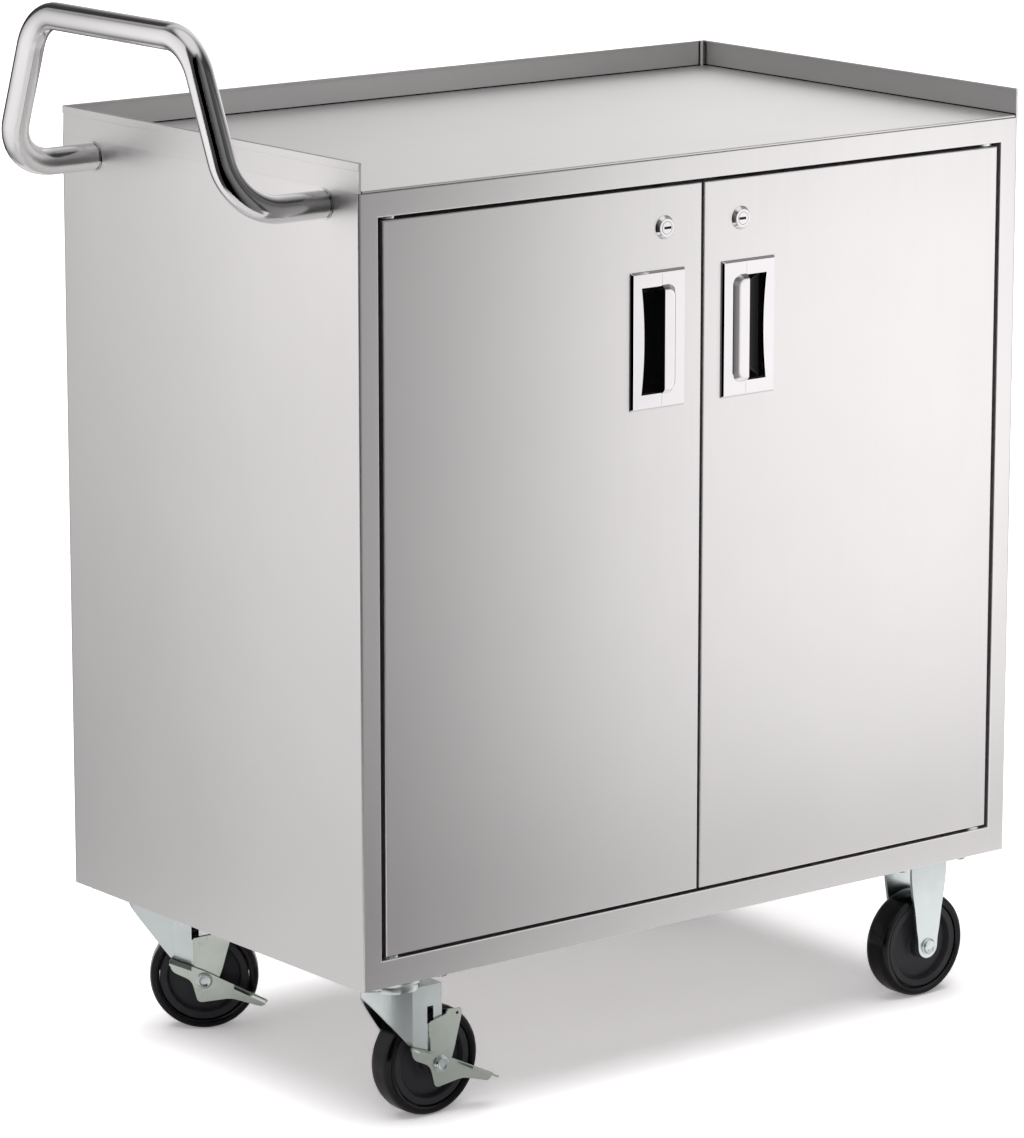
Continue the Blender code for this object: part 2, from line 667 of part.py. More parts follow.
def build_lock(side, way, hinge):
    """A cam lock: the barrel stays in the door, the plug and the cam turn together."""
    centre = (way * (MIDDLE_REACH - LOCK_INSET), 0, LOCK_HEIGHT)
    face_back = -HALF_THICKNESS - GAP
    face_front = face_back - LOCK_FACE_THICKNESS
    tail = HALF_THICKNESS + BARREL_TAIL
    bore = around(BORE_RADIUS, ROUND_SIDES)
    profile = (
        (bore, face_front), (LOCK_FACE_RADIUS, face_front), (LOCK_FACE_RADIUS, face_back),
        (BARREL_RADIUS, face_back), (BARREL_RADIUS, tail), (bore, tail),
    )
    solid = bmesh.new()
    add_turned(solid, profile, "Y", ROUND_SIDES, centre, hollow=True)
    add_piece(f"{side}_lock_barrel", solid, CHROME, hinge, smooth=True)
    turner = add_empty(f"{side}_lock_axis", centre, hinge)
    cam_front = HALF_THICKNESS + CAM_GAP
    cam_back = cam_front + CAM_THICKNESS
    stem_end = cam_back + GAP
    solid = bmesh.new()
    profile = (
        (PLUG_RADIUS, face_front - PLUG_PROUD), (PLUG_RADIUS, cam_front - GAP),
        (CAM_STEM_RADIUS, cam_front - GAP), (CAM_STEM_RADIUS, stem_end),
        (CAM_SCREW_RADIUS, stem_end), (CAM_SCREW_RADIUS, stem_end + CAM_SCREW_THICKNESS),
    )
    add_turned(solid, profile, "Y", ROUND_SIDES)
    plug = add_piece(f"{side}_lock_plug", solid, CHROME, turner, smooth=True)
    keyway = bmesh.new()
    add_box(
        keyway,
        (-KEYWAY_LENGTH / 2, face_front - PLUG_PROUD - CUT_MARGIN, -KEYWAY_WIDTH / 2),
        (KEYWAY_LENGTH / 2, face_front + KEYWAY_DEPTH, KEYWAY_WIDTH / 2),
    )
    combine(plug, keyway, "DIFFERENCE")
    tip = way * (CAM_HALF_WIDTH - CAM_LENGTH)
    corner = CAM_HALF_WIDTH / 2
    outline = (
        (tip, -corner), (0, -CAM_HALF_WIDTH), (way * CAM_HALF_WIDTH, -corner),
        (way * CAM_HALF_WIDTH, corner), (0, CAM_HALF_WIDTH), (tip, CAM_HALF_WIDTH),
        (-way * CAM_LENGTH, corner), (-way * CAM_LENGTH, -corner),
    )
    solid = bmesh.new()
    add_prism(solid, outline, "Y", cam_front, cam_back)
    cam = add_piece(f"{side}_lock_cam", solid, ZINC, turner)
    hole = bmesh.new()
    reach = cam_back + CUT_MARGIN
    add_bore(hole, CAM_STEM_RADIUS + GAP, "Y", (0, 0, 0), cam_front - CUT_MARGIN, reach, ROUND_SIDES)
    combine(cam, hole, "DIFFERENCE")


def build_doors(cabinet):
    """Both doors, each below an empty on its pivot axis."""
    for side, way, pivot in (("left", 1, PIVOT_X), ("right", -1, BODY_WIDTH - PIVOT_X)):
        hinge = add_empty(f"{side}_door_axis", (pivot, HALF_THICKNESS, 0), cabinet)
        build_door_shell(side, way, hinge)
        build_pull(side, way, hinge)
        build_pivot_pins(side, hinge)
        build_lock(side, way, hinge)


def caster_places():
    """Name, x, y and turn of each caster, as the cart stands."""
    near_x, far_x = CASTER_INSET_X, BODY_WIDTH - CASTER_INSET_X
    near_y, far_y = CASTER_INSET_Y, BODY_DEPTH - CASTER_INSET_Y
    return (
        ("front_left", near_x, near_y, 0),
        ("back_left", near_x, far_y, BACK_LEFT_TURN),
        ("front_right", far_x, near_y, 0),
        ("back_right", far_x, far_y, 0),
    )


def bolt_places(x, y):
    """The four bolt centres round a caster's middle."""
    return [(x + i * BOLT_SPREAD_X, y + j * BOLT_SPREAD_Y) for i in (-1, 1) for j in (-1, 1)]


def bolt_holes(places, start, end):
    """Cutters for bolt holes between two levels."""
    holes = bmesh.new()
    for x, y in places:
        add_bore(holes, BOLT_RADIUS + BOLT_CLEARANCE, "Z", (x, y, 0), start, end)
    return holes


def build_caster_channels(cabinet):
    """Two channels below the floor that the casters bolt to."""
    for name, middle in (
        ("left_caster_channel", CASTER_INSET_X),
        ("right_caster_channel", BODY_WIDTH - CASTER_INSET_X),
    ):
        solid = bmesh.new()
        top = BOTTOM_RAIL_TOP - FRAME_SHEET - GAP
        outline = channel(middle - CHANNEL_HALF_WIDTH, middle + CHANNEL_HALF_WIDTH, 0, top, CHANNEL_SHEET)
        end = BODY_DEPTH - PANEL_SHEET - GAP
        add_prism(solid, outline, "Y", FRAME_DEPTH + GAP, end)
        carrier = add_piece(name, solid, STEEL, cabinet)
        places = bolt_places(middle, CASTER_INSET_Y) + bolt_places(middle, BODY_DEPTH - CASTER_INSET_Y)
        combine(carrier, bolt_holes(places, -CUT_MARGIN, CHANNEL_SHEET + CUT_MARGIN), "DIFFERENCE")


def plate_bolts():
    """Four bolts with their nuts above the channel, joined to the plate that they hold."""
    plate_middle = -GAP - PLATE_THICKNESS / 2
    nut_base = CHANNEL_SHEET + GAP
    profile = (
        (BOLT_HEAD_RADIUS, -GAP - PLATE_THICKNESS - BOLT_HEAD_THICKNESS), (BOLT_HEAD_RADIUS, plate_middle),
        (BOLT_RADIUS, plate_middle), (BOLT_RADIUS, nut_base),
        (BOLT_HEAD_RADIUS, nut_base), (BOLT_HEAD_RADIUS, nut_base + BOLT_HEAD_THICKNESS),
    )
    solid = bmesh.new()
    for x, y in bolt_places(0, 0):
        add_turned(solid, profile, "Z", HEX_SIDES, (x, y, 0))
    return solid


def mount_plate():
    """A solid of the caster's mounting plate, before its holes."""
    solid = bmesh.new()
    half_length, half_width = PLATE_LENGTH / 2, PLATE_WIDTH / 2
    add_box(
        solid,
        (-half_length, -half_width, -GAP - PLATE_THICKNESS),
        (half_length, half_width, -GAP),
    )
    return solid


def build_swivel_plate(name, mount):
    """The top plate with its bolts and upper race, bored and countersunk for the kingpin."""
    plate = add_piece(f"{name}_caster_plate", mount_plate(), ZINC, mount)
    race = bmesh.new()
    middle = -GAP - PLATE_THICKNESS / 2
    add_turned(race, ((RACE_RADIUS, middle), (RACE_RADIUS, -RACE_DROP)), "Z", WHEEL_SIDES)
    combine(plate, race, "UNION")
    seat = bmesh.new()
    head_seat = -GAP - KINGPIN_HEAD_THICKNESS - GAP
    add_bore(seat, KINGPIN_HEAD_RADIUS + GAP, "Z", (0, 0, 0), head_seat, CUT_MARGIN, ROUND_SIDES)
    combine(plate, seat, "DIFFERENCE")
    bore = bmesh.new()
    low = -RACE_DROP - CUT_MARGIN
    add_bore(bore, KINGPIN_RADIUS + KINGPIN_CLEARANCE, "Z", (0, 0, 0), low, CUT_MARGIN, ROUND_SIDES)
    combine(plate, bore, "DIFFERENCE")
    combine(plate, plate_bolts(), "UNION")


def yoke_outline():
    """The yoke from the side: a crown, a curved skirt and a round foot about the axle."""
    skirt_start = Vector((-CROWN_FRONT, -CROWN_DROP - SKIRT_DEPTH))
    foot = Vector((TRAIL, -AXLE_DROP))
    skirt_end = foot - Vector((FOOT_RADIUS, 0))
    points = [(-CROWN_FRONT, -CROWN_DROP), tuple(skirt_start)]
    across, down = skirt_end - skirt_start
    for across_share, down_share in SKIRT_SHARES:
        points.append(tuple(skirt_start + Vector((across * across_share, down * down_share))))
    for step in range(FOOT_STEPS + 1):
        angle = math.pi * (1 + step / FOOT_STEPS)
        points.append(tuple(foot + FOOT_RADIUS * Vector((math.cos(angle), math.sin(angle)))))
    back = TRAIL + FOOT_RADIUS - CROWN_BACK
    points += [(back, -CROWN_DROP - SKIRT_DEPTH), (back - CROWN_BACK, -CROWN_DROP)]
    return points


def build_yoke(name, swivel):
    """The pressed yoke: a crown and two arms, with the lower race on top."""
    solid = bmesh.new()
    add_prism(solid, yoke_outline(), "Y", -ARM_OUTER, ARM_OUTER)
    yoke = add_piece(f"{name}_yoke", solid, ZINC, swivel)
    race = bmesh.new()
    crown_middle = (-CROWN_DROP - CROWN_UNDERSIDE) / 2
    race_top = -RACE_DROP - GAP
    add_turned(race, ((LOWER_RACE_RADIUS, race_top), (LOWER_RACE_RADIUS, crown_middle)), "Z", WHEEL_SIDES)
    combine(yoke, race, "UNION")
    between = bmesh.new()
    add_box(
        between,
        (-BODY_BOTTOM, -ARM_INNER, -CROWN_UNDERSIDE),
        (BODY_BOTTOM, ARM_INNER, -BODY_BOTTOM),
    )
    combine(yoke, between, "DIFFERENCE")
    bore = bmesh.new()
    low = -CROWN_UNDERSIDE - CUT_MARGIN
    add_bore(bore, KINGPIN_RADIUS + KINGPIN_CLEARANCE, "Z", (0, 0, 0), low, CUT_MARGIN, ROUND_SIDES)
    combine(yoke, bore, "DIFFERENCE")
    combine(yoke, axle_hole(TRAIL, ARM_OUTER), "DIFFERENCE")


def axle_hole(x, reach):
    """A cutter for the axle's bore at a distance behind the swivel axis."""
    hole = bmesh.new()
    end = reach + CUT_MARGIN
    add_bore(hole, AXLE_RADIUS + AXLE_CLEARANCE, "Y", (x, 0, -AXLE_DROP), -end, end, ROUND_SIDES)
    return hole


def build_kingpin(name, swivel):
    """The rivet on which the yoke turns, headed in the plate and below the crown."""
    head_top = -GAP - GAP
    head_bottom = head_top - KINGPIN_HEAD_THICKNESS + GAP
    nut_top = -CROWN_UNDERSIDE - GAP
    profile = (
        (KINGPIN_HEAD_RADIUS, head_top), (KINGPIN_HEAD_RADIUS, head_bottom),
        (KINGPIN_RADIUS, head_bottom), (KINGPIN_RADIUS, nut_top),
        (KINGPIN_NUT_RADIUS, nut_top), (KINGPIN_NUT_RADIUS, nut_top - KINGPIN_NUT_THICKNESS),
    )
    solid = bmesh.new()
    add_turned(solid, profile, "Z", ROUND_SIDES)
    add_piece(f"{name}_kingpin", solid, ZINC, swivel, smooth=True)


def build_axle(name, parent, x, near_face):
    """The axle bolt, its head outside near_face and its nut outside the other arm."""
    nut_face = ARM_OUTER + GAP
    profile = (
        (AXLE_HEAD_RADIUS, -near_face - AXLE_HEAD_THICKNESS), (AXLE_HEAD_RADIUS, -near_face),
        (AXLE_RADIUS, -near_face), (AXLE_RADIUS, nut_face),
        (AXLE_HEAD_RADIUS, nut_face), (AXLE_HEAD_RADIUS, nut_face + AXLE_HEAD_THICKNESS),
    )
    solid = bmesh.new()
    add_turned(solid, profile, "Y", SMALL_SIDES, (x, 0, -AXLE_DROP))
    add_piece(f"{name}_axle", solid, ZINC, parent, smooth=True)


def build_brake(name, swivel):
    """The fixed brake plate and the foot lever that turns on the axle bolt.
    Returns the distance of the lever's outer face from the wheel's middle."""
    plate_inner = ARM_OUTER + GAP
    plate_outer = plate_inner + BRAKE_SHEET
    lever_inner = plate_outer + GAP
    lever_outer = lever_inner + BRAKE_SHEET
    solid = bmesh.new()
    outline = [
        (TRAIL + x_share * BRAKE_PLATE_HEIGHT, z_share * BRAKE_PLATE_HEIGHT - AXLE_DROP)
        for x_share, z_share in BRAKE_PLATE_SHARES
    ]
    add_prism(solid, outline, "Y", -plate_outer, -plate_inner)
    plate = add_piece(f"{name}_brake_plate", solid, YELLOW_ZINC, swivel)
    combine(plate, axle_hole(TRAIL, plate_outer), "DIFFERENCE")
    turner = add_empty(f"{name}_brake_axis", (TRAIL, 0, -AXLE_DROP), swivel)
    solid = bmesh.new()
    outline = [(x_share * LEVER_REACH, z_share * LEVER_REACH) for x_share, z_share in LEVER_SHARES]
    add_prism(solid, outline, "Y", -lever_outer, -lever_inner)
    lever = add_piece(f"{name}_brake_lever", solid, YELLOW_ZINC, turner)
    tabs = bmesh.new()
    middle = (lever_inner + lever_outer) / 2
    for shares in (FRONT_TAB_SHARES, BACK_TAB_SHARES):
        top = [(x_share * LEVER_REACH, z_share * LEVER_REACH) for x_share, z_share in shares]
        underside = [(x, z - BRAKE_SHEET) for x, z in reversed(top)]
        add_prism(tabs, top + underside, "Y", -lever_outer - TAB_REACH, -middle)
    combine(lever, tabs, "UNION")
    hole = bmesh.new()
    end = lever_outer + CUT_MARGIN
    add_bore(hole, AXLE_RADIUS + AXLE_CLEARANCE, "Y", (0, 0, 0), -end, 0, ROUND_SIDES)
    combine(lever, hole, "DIFFERENCE")
    return lever_outer


def build_fork(name, mount):
    """A rigid fork: the mounting plate with its bolts and two straight arms in one pressing."""
    fork = add_piece(f"{name}_fork", mount_plate(), ZINC, mount)
    middle = -GAP - PLATE_THICKNESS / 2
    waist = -AXLE_DROP * FORK_WAIST_SHARE
    outline = [
        (-FORK_TOP_HALF_WIDTH, middle), (-FORK_TOP_HALF_WIDTH, -CROWN_DROP),
        (-FORK_WAIST_HALF_WIDTH, waist),
    ]
    for step in range(FOOT_STEPS + 1):
        angle = math.pi * (1 + step / FOOT_STEPS)
        outline.append((FOOT_RADIUS * math.cos(angle), FOOT_RADIUS * math.sin(angle) - AXLE_DROP))
    outline += [
        (FORK_WAIST_HALF_WIDTH, waist), (FORK_TOP_HALF_WIDTH, -CROWN_DROP),
        (FORK_TOP_HALF_WIDTH, middle),
    ]
    arms = bmesh.new()
    for sign in (-1, 1):
        add_prism(arms, outline, "Y", sign * ARM_INNER, sign * ARM_OUTER)
    combine(fork, arms, "UNION")
    combine(fork, plate_bolts(), "UNION")
    combine(fork, axle_hole(0, ARM_OUTER), "DIFFERENCE")


def build_wheel(name, parent, x):
    """A solid rubber tread on a plastic core, turning on the axle.
    Flats of the tread stand at the wheel's radius, one of them on the floor."""
    spinner = add_empty(f"{name}_wheel_axis", (x, 0, -AXLE_DROP), parent)
    tread = around(WHEEL_RADIUS, WHEEL_SIDES)
    shoulder = around(WHEEL_RADIUS - SHOULDER_DROP, WHEEL_SIDES)
    inner = around(RIM_RADIUS + GAP, WHEEL_SIDES)
    flat = TREAD_HALF_WIDTH - SHOULDER
    solid = bmesh.new()
    profile = (
        (inner, -RIM_HALF_WIDTH), (shoulder, -TREAD_HALF_WIDTH), (tread, -flat),
        (tread, flat), (shoulder, TREAD_HALF_WIDTH), (inner, RIM_HALF_WIDTH),
    )
    add_turned(solid, profile, "Y", WHEEL_SIDES, hollow=True)
    add_piece(f"{name}_wheel_tread", solid, RUBBER, spinner, smooth=True)
    bore = around(AXLE_RADIUS + AXLE_CLEARANCE, WHEEL_SIDES)
    rim = around(RIM_RADIUS, WHEEL_SIDES)
    half = (
        (bore, HUB_HALF_WIDTH), (HUB_RADIUS, HUB_HALF_WIDTH), (HUB_RADIUS, WEB_HALF_WIDTH),
        (rim - RIM_THICKNESS, WEB_HALF_WIDTH), (rim - RIM_THICKNESS, RIM_HALF_WIDTH),
        (rim, RIM_HALF_WIDTH),
    )
    profile = [(radius, level) for radius, level in half]
    profile += [(radius, -level) for radius, level in reversed(half)]
    solid = bmesh.new()
    add_turned(solid, profile, "Y", WHEEL_SIDES, hollow=True)
    add_piece(f"{name}_wheel_core", solid, GREY_PLASTIC, spinner, smooth=True)


def build_casters(cabinet):
    """Swivel casters with brakes on the handle's side and rigid casters on the other."""
    build_caster_channels(cabinet)
    for name, x, y, turn in caster_places():
        mount = add_empty(f"{name}_caster", (x, y, 0), cabinet)
        if x < MIDDLE_X:
            build_swivel_plate(name, mount)
            swivel = add_empty(f"{name}_swivel_axis", (0, 0, 0), mount, turn)
            build_yoke(name, swivel)
            build_kingpin(name, swivel)
            lever_face = build_brake(name, swivel)
            build_axle(name, swivel, TRAIL, lever_face + GAP)
            build_wheel(name, swivel, TRAIL)
        else:
            build_fork(name, mount)
            build_axle(name, mount, 0, ARM_OUTER + GAP)
            build_wheel(name, mount, 0)


def main():
    clear_scene()
    left_x = (HANDLE_REACH - BODY_WIDTH) / 2
    front_y = PULL_PROUD - (BODY_DEPTH + PULL_PROUD) / 2
    cabinet = add_empty("cabinet", (left_x, front_y, BODY_BOTTOM))
    build_worktop(cabinet)
    build_panels(cabinet)
    build_front_frame(cabinet)
    build_shelf(cabinet)
    build_handle(cabinet)
    build_door_catch(cabinet)
    build_doors(cabinet)
    build_casters(cabinet)
    bpy.context.view_layer.update()


main()
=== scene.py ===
"""Enclosed utility cart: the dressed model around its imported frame.
Shapes are given in millimetres in the cabinet's own frame: the origin is the front left
bottom corner of the cabinet, X runs to the right, Y to the back and Z up."""

import math

import bmesh
import bpy
from mathutils import Euler, Matrix, Vector


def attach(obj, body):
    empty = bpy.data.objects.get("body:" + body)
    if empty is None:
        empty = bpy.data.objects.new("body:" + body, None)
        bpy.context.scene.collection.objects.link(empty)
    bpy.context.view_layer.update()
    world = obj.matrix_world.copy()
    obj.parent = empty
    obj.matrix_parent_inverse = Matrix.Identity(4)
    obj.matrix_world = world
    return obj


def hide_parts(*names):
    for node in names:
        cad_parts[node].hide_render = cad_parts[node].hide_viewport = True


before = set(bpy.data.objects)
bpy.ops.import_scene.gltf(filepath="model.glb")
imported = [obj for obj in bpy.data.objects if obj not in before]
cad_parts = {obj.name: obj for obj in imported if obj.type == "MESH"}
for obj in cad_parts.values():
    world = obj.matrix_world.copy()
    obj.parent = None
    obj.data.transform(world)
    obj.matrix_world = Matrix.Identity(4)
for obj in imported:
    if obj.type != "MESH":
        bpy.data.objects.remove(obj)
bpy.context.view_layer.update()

# The cabinet's corner in the model's frame, and the step from millimetres to metres
CORNER = Vector((-0.3325, -0.22625, 0.144))
CABINET = Matrix.Translation(CORNER) @ Matrix.Scale(0.001, 4)

# Cabinet: its outer sizes, the door opening by its left, right, bottom and top, and its folds
WIDTH = 775
DEPTH = 460
RIGHT_FACE = 774.99
BACK_FACE = 459.99
HEIGHT = 720
FRAME_TOP = 717.8
FRAME_DEPTH = 18
OPENING = (21, 754, 26, 695)
SHEET = 1.2
PANEL_END = 458.5
FOLD_STEPS = 5
OPENING_FOLD = 1.5
OUTER_FOLD = 2.5
TOP_FOLD = 1.2

# Worktop. The step below a lip's hem is given by how far in and how far below the top it is
DECK_BOTTOM = 718.02
DECK_GROOVE = 0.9
DECK_FOLD = 1
LIP_TOP = 745
LIP_FOOT = 717.85
LIP_WIDTH = 3
HEM_FOLD = 1.2
HEM_STEP = ((0.6, 8.4), (0.5, 7.8), (0.05, 7.6), (0, 7.2))
WEB_INSET = 0.4
CORNER_SLIT = 11
CORNER_GAP = 0.25
WELD_INSETS = (7, 2.6)
WELD_RADIUS = 1.9
# Painted shade: the size of the black bead at the lips' foot, then the depths of the black block behind the
# corner's slit
SHADE_BEAD = 1.1
SLIT_SHADE = (1.6, 1.3)

# Doors, by their left, right, bottom and top edges. A bush is radii and heights on its rail
LEFT_DOOR = (25.75, 386, 29, 692)
DOOR_BACK = 16.5
DOOR_FOLD = 1.3
PIVOT_X = 36
PIVOT_Y = 9
PIVOT_HOLE = 3.4
BUSH = ((3.5, 2.4), (7.4, 2.4), (7.9, 1.9), (7.9, 0), (5.2, -1), (5.2, -4), (3.5, -4))

# Pulls: a recess whose near part is an open mouth and whose far part a hood covers. Rings are
# insets and depths; those of the cup are growths, corner radii and depths
PULL_MIDDLE = (334, 553.5)
PULL_SIZE = (64, 127)
RECESS_NEAR = 314.5
HOOD_NEAR = 337.5
RECESS_FAR = 352.2
RECESS_HALF = 48.5
CUTOUT_GAP = 1.8
PLATE_CORNER = 1.2
PLATE_FRONT = -3.0
PLATE_RINGS = ((0.3, -0.3), (0, -0.5), (0.9, -1.4), (2.0, PLATE_FRONT))
HOOD_CORNER = 9
HOOD_WALL = 1.5
HOOD_RINGS = ((0, -1.4), (0, -3.0), (0.4, -3.7), (3.4, -6.7), (4.3, -7.25), (5.4, -7.45), (6.4, -7.5))
FINGER_REACH = 18
FINGER_RINGS = ((0, 2), (0, -3.0), (0.8, -4.4), (2.2, -5.4), (4.2, -5.9), (5.5, -6.0))
MOUTH_BOW = 3.2
MOUTH_STEPS = 12
MOUTH_RINGS = ((0, 2), (0, -1.9), (1.0, -3.2), (1.0, -12))
CREASE_HALF = 0.14
CREASE_GAPS = (2.5, 2.9)
SCOOP_TOP = (-0.2, 3, 2.5)
SCOOP_STEPS = 14
SCOOP_INWARD = 16.4
SCOOP_DEPTH = 8.9
CUP_RINGS = ((-16, 1, 12.9), (-10, 3, 12.7), (-4, 5, 11.5), (0, 5, 8.5), (1.4, 4.5, 4.5), (1.4, 4.5, -0.2))

# Locks, by radii and depths: a chamfered face on its barrel, and the plug. The keyway is two
# halves and a corner radius, and a flap in it is depths and heights
LOCK = (342.5, 655)
LOCK_HOLE = 9.3
LOCK_FACE = ((5.8, 19), (9.0, 19), (9.0, -0.1), (11, -0.1), (11, -0.2), (8.5, -3.1), (8.1, -3.3),
             (6.0, -3.3), (5.8, -3.1))
LOCK_PLUG = ((5.7, 19.2), (5.7, -3.1), (5.5, -3.3), (4.6, -3.3))
KEYWAY = (4.1, 1.2, 0.5)
KEYWAY_SHIFT = 0.8
FLAP_HALF = 4
FLAP = ((-2.9, 1.15), (-2.4, 0.05), (2.5, 0.05), (2.5, 1.15))

# Handle, and the welded rim at its feet by radii and levels
TUBE_RADIUS = 12.55
TUBE_SIDES = 48
LEG_END = -2.2
LEG_INSET = 51
LEG_HEIGHT = 703
GRIP_X = -97.3
ELBOW_X = -94
GRIP_INSET = 109.5
GRIP_HEIGHT = 848
BEND_RADIUS = 48
BEND_STEPS = 20
STUD_HOLE = 4.4
RIM = ((9, -0.35), (13.5, -0.35), (13.7, -0.6), (13.5, -0.9), (11.6, -1.0), (11.6, -4), (9, -4))

# Casters, in their own frame: the middle of the mounting plate, at the cabinet's underside. The
# plate is two halves and a corner radius, and races are radii and levels
CASTER_X = 70
CASTER_Y = 50
BACK_LEFT_TURN = math.radians(-35)
TRAIL = 35
AXLE_DROP = 92
MOUNT_PLATE = (47.3, 33.3, 6)
PLATE_BOTTOM = -3.0
BOLT_SPOTS = ((-37.5, -22.5), (-37.5, 22.5), (37.5, -22.5), (37.5, 22.5))
BOLT_HOLE = 4.3
BORE = 6.5
UPPER_RACE = ((BORE, -2), (25, -2), (25.6, -4.6), (27, -6.2), (27, -11.0), (26.2, -11.9),
              (22, -11.9), (20, -9.5), (BORE, -9.5))
LOWER_RACE = ((BORE, -19), (24, -19), (24, -14.0), (23, -12.4), (17, -12.4), (15, -14.5), (BORE, -14.5))
KINGPIN_SEAT = ((BORE, -20), (BORE, -2.9), (10.3, -2.7), (10.3, 2))
# The yoke's horn, seen from above, is a round front that runs into two straight arms
ARM_INNER = 17.5
ARM_OUTER = 20.5
HORN_FRONT = 36
HORN_CREASE = 7
HORN_LENGTH_POWER = 1.8
HORN_WIDTH_POWER = 1.2
HORN_STEPS = 36
HORN_END = 80
HORN_NOSE = ((-HORN_FRONT, -17), (-HORN_FRONT, -21.5), (1.2 - HORN_FRONT, -24))
HORN_REAR = ((46.6, -86), (45, -78), (41.5, -66), (40, -56), (40, -17))
HORN_SLOT = ((23.3, -30, -53), (30.3, -10, -37))
# A rigid fork's arm narrows from its plate to its waist
FORK_HALF = 22.5
WAIST_TOP = -17
WAIST_DROP = 38.2
WAIST_INWARD = 5.5
WAIST_POWER = 1.4
WAIST_STEPS = 6
AXLE_HOLE = 5.4
AXLE_END = 12
# An axle bolt's head with its washer and dished middle, by radii and how far they stand out
AXLE_HEAD = ((5, 0), (8, 0), (8, 0.7), (6.9, 0.9), (6.9, 2.7), (6.4, 3.5), (5.4, 3.8), (4.0, 3.0),
             (2.4, 2.8))
NUT_RADIUS = 7.6
# The brake's outlines are shares of one size about the axle, with a radius for each corner
BRAKE_FACE = 20.8
BRAKE_OUTER = 22.8
BRAKE_HEIGHT = 52
BRAKE_SHARES = (
    (-0.18, -0.06), (-0.20, 0.79), (0.15, 0.86), (0.19, 0.94), (0.51, 0.92), (0.50, 0.80),
    (0.40, 0.44), (0.33, 0.17), (0.21, -0.12), (0.0, -0.21),
)
BRAKE_ROUNDS = (4, 1.5, 2, 1, 4, 5, 10, 8, 6, 6)
EAR_HOLE = (0.40, 0.84)
EAR_HOLE_RADIUS = 1.5
LEVER_FACE = 23.1
LEVER_OUTER = 25.1
LEVER_REACH = 63
LEVER_SHARES = (
    (-0.54, 0.35), (0.0, 0.15), (0.40, -0.05), (0.97, -0.33), (0.87, -0.43), (0.40, -0.285),
    (-0.10, -0.35), (-0.19, 0.0), (-0.49, 0.145),
)
LEVER_ROUNDS = (4, 3, 6, 2, 3, 6, 5, 6, 5)
FLANGE_SHARES = (((-0.52, 0.33), (-0.19, 0.205)), ((0.45, -0.09), (0.92, -0.32)))
FLANGE_WIDTH = 11.8

# Wheels: half profiles by radii and distances from the middle
TREAD_SIDE = ((42.9, 12), (43.6, 12.9), (45.2, 14.1), (47.4, 14.5), (49.0, 13.9), (50.5, 12.2),
              (51.4, 10.2), (51.85, 8.2), (51.99, 6))
TREAD_CROWN = (51.99, 0)
CORE_SIDE = ((AXLE_HOLE, 16.5), (11.8, 16.5), (12.8, 15.8), (13.2, 8.2), (14.6, 7.2), (31.0, 7.2),
             (32.2, 6.6), (33.6, 6.6), (34.9, 10.8), (35.8, 11.9), (41.6, 12), (42.5, 11.2))

# Stage: how the floor and the world show in view, light matte surfaces and show in mirrors.
# The floor lies bright in mirrors only near the cart
FLOOR_GLOW = 0.08
FLOOR_SHADE = 1.4
FLOOR_TINT = (1, 0.99, 0.992)
SHADOW_GLOW = 0.26
MAT_MIDDLE = (0, 0, 0)
MAT_NEAR = 1.3
MAT_FAR = 2.0
FAR_GLOW = 0.05
DOME = 0.15
ROOM_FAR = 0.90
ROOM_NEAR = 0.06
ROOM_EDGE = 0.25
CEILING = 0.95
CEILING_EDGE = 0.72
CEILING_CORE = 0.95
VIEW_WAY = (0.60, 0.77, 0.22)
# The cards' tones, by the share of the way along them or up them
CARD_GAIN = 1.5625
FRONT_RUN = (
    (0, 0.19), (0.04, 0.20), (0.1055, 0.25), (0.16, 0.345), (0.19, 0.415), (0.222, 0.52),
    (0.2545, 0.63), (0.293, 0.74), (0.322, 0.79), (0.37, 0.83), (0.435, 0.88), (0.51, 0.98),
    (0.57, 0.97), (0.635, 0.86), (0.68, 0.58), (0.72, 0.30), (0.80, 0.20), (1, 0.16),
)
FRONT_RISE = (
    (0, 0.24), (0.05, 0.41), (0.085, 0.57), (0.115, 0.66), (0.31, 0.84), (0.6, 0.85),
    (0.72, 0.66), (0.82, 0.36), (1, 0.26),
)
LEFT_RUN = (
    (0, 0.80), (0.1, 0.79), (0.21, 0.76), (0.26, 0.68), (0.31, 0.60), (0.36, 0.54),
    (0.42, 0.50), (0.5, 0.44), (0.62, 0.34), (1, 0.27),
)
LEFT_RISE = ((0, 0.58), (0.077, 0.64), (0.325, 0.80), (0.495, 0.87), (0.6, 0.94), (0.7, 0.94), (1, 0.6))
BACK_RUN = (
    (0, 0.03), (0.16, 0.08), (0.25, 0.36), (0.379, 0.58), (0.426, 0.64), (0.468, 0.68),
    (0.507, 0.72), (0.544, 0.775), (0.605, 0.84), (0.646, 0.88), (1, 0.88),
)
BACK_RISE = ((0, 0.86), (1, 0.86))
GROUND_RUN = ((0, 0.28), (0.095, 0.40), (0.158, 0.66), (0.25, 0.78), (0.4, 0.92), (1, 0.96))
SIDE_RISE = ((0, 0.60), (1, 0.60))
EVEN_RISE = ((0, 0.74), (1, 0.74))
SCREEN_RUN = ((0, 0.03), (0.80, 0.03), (0.87, 0.12), (0.92, 0.17), (1, 0.22))
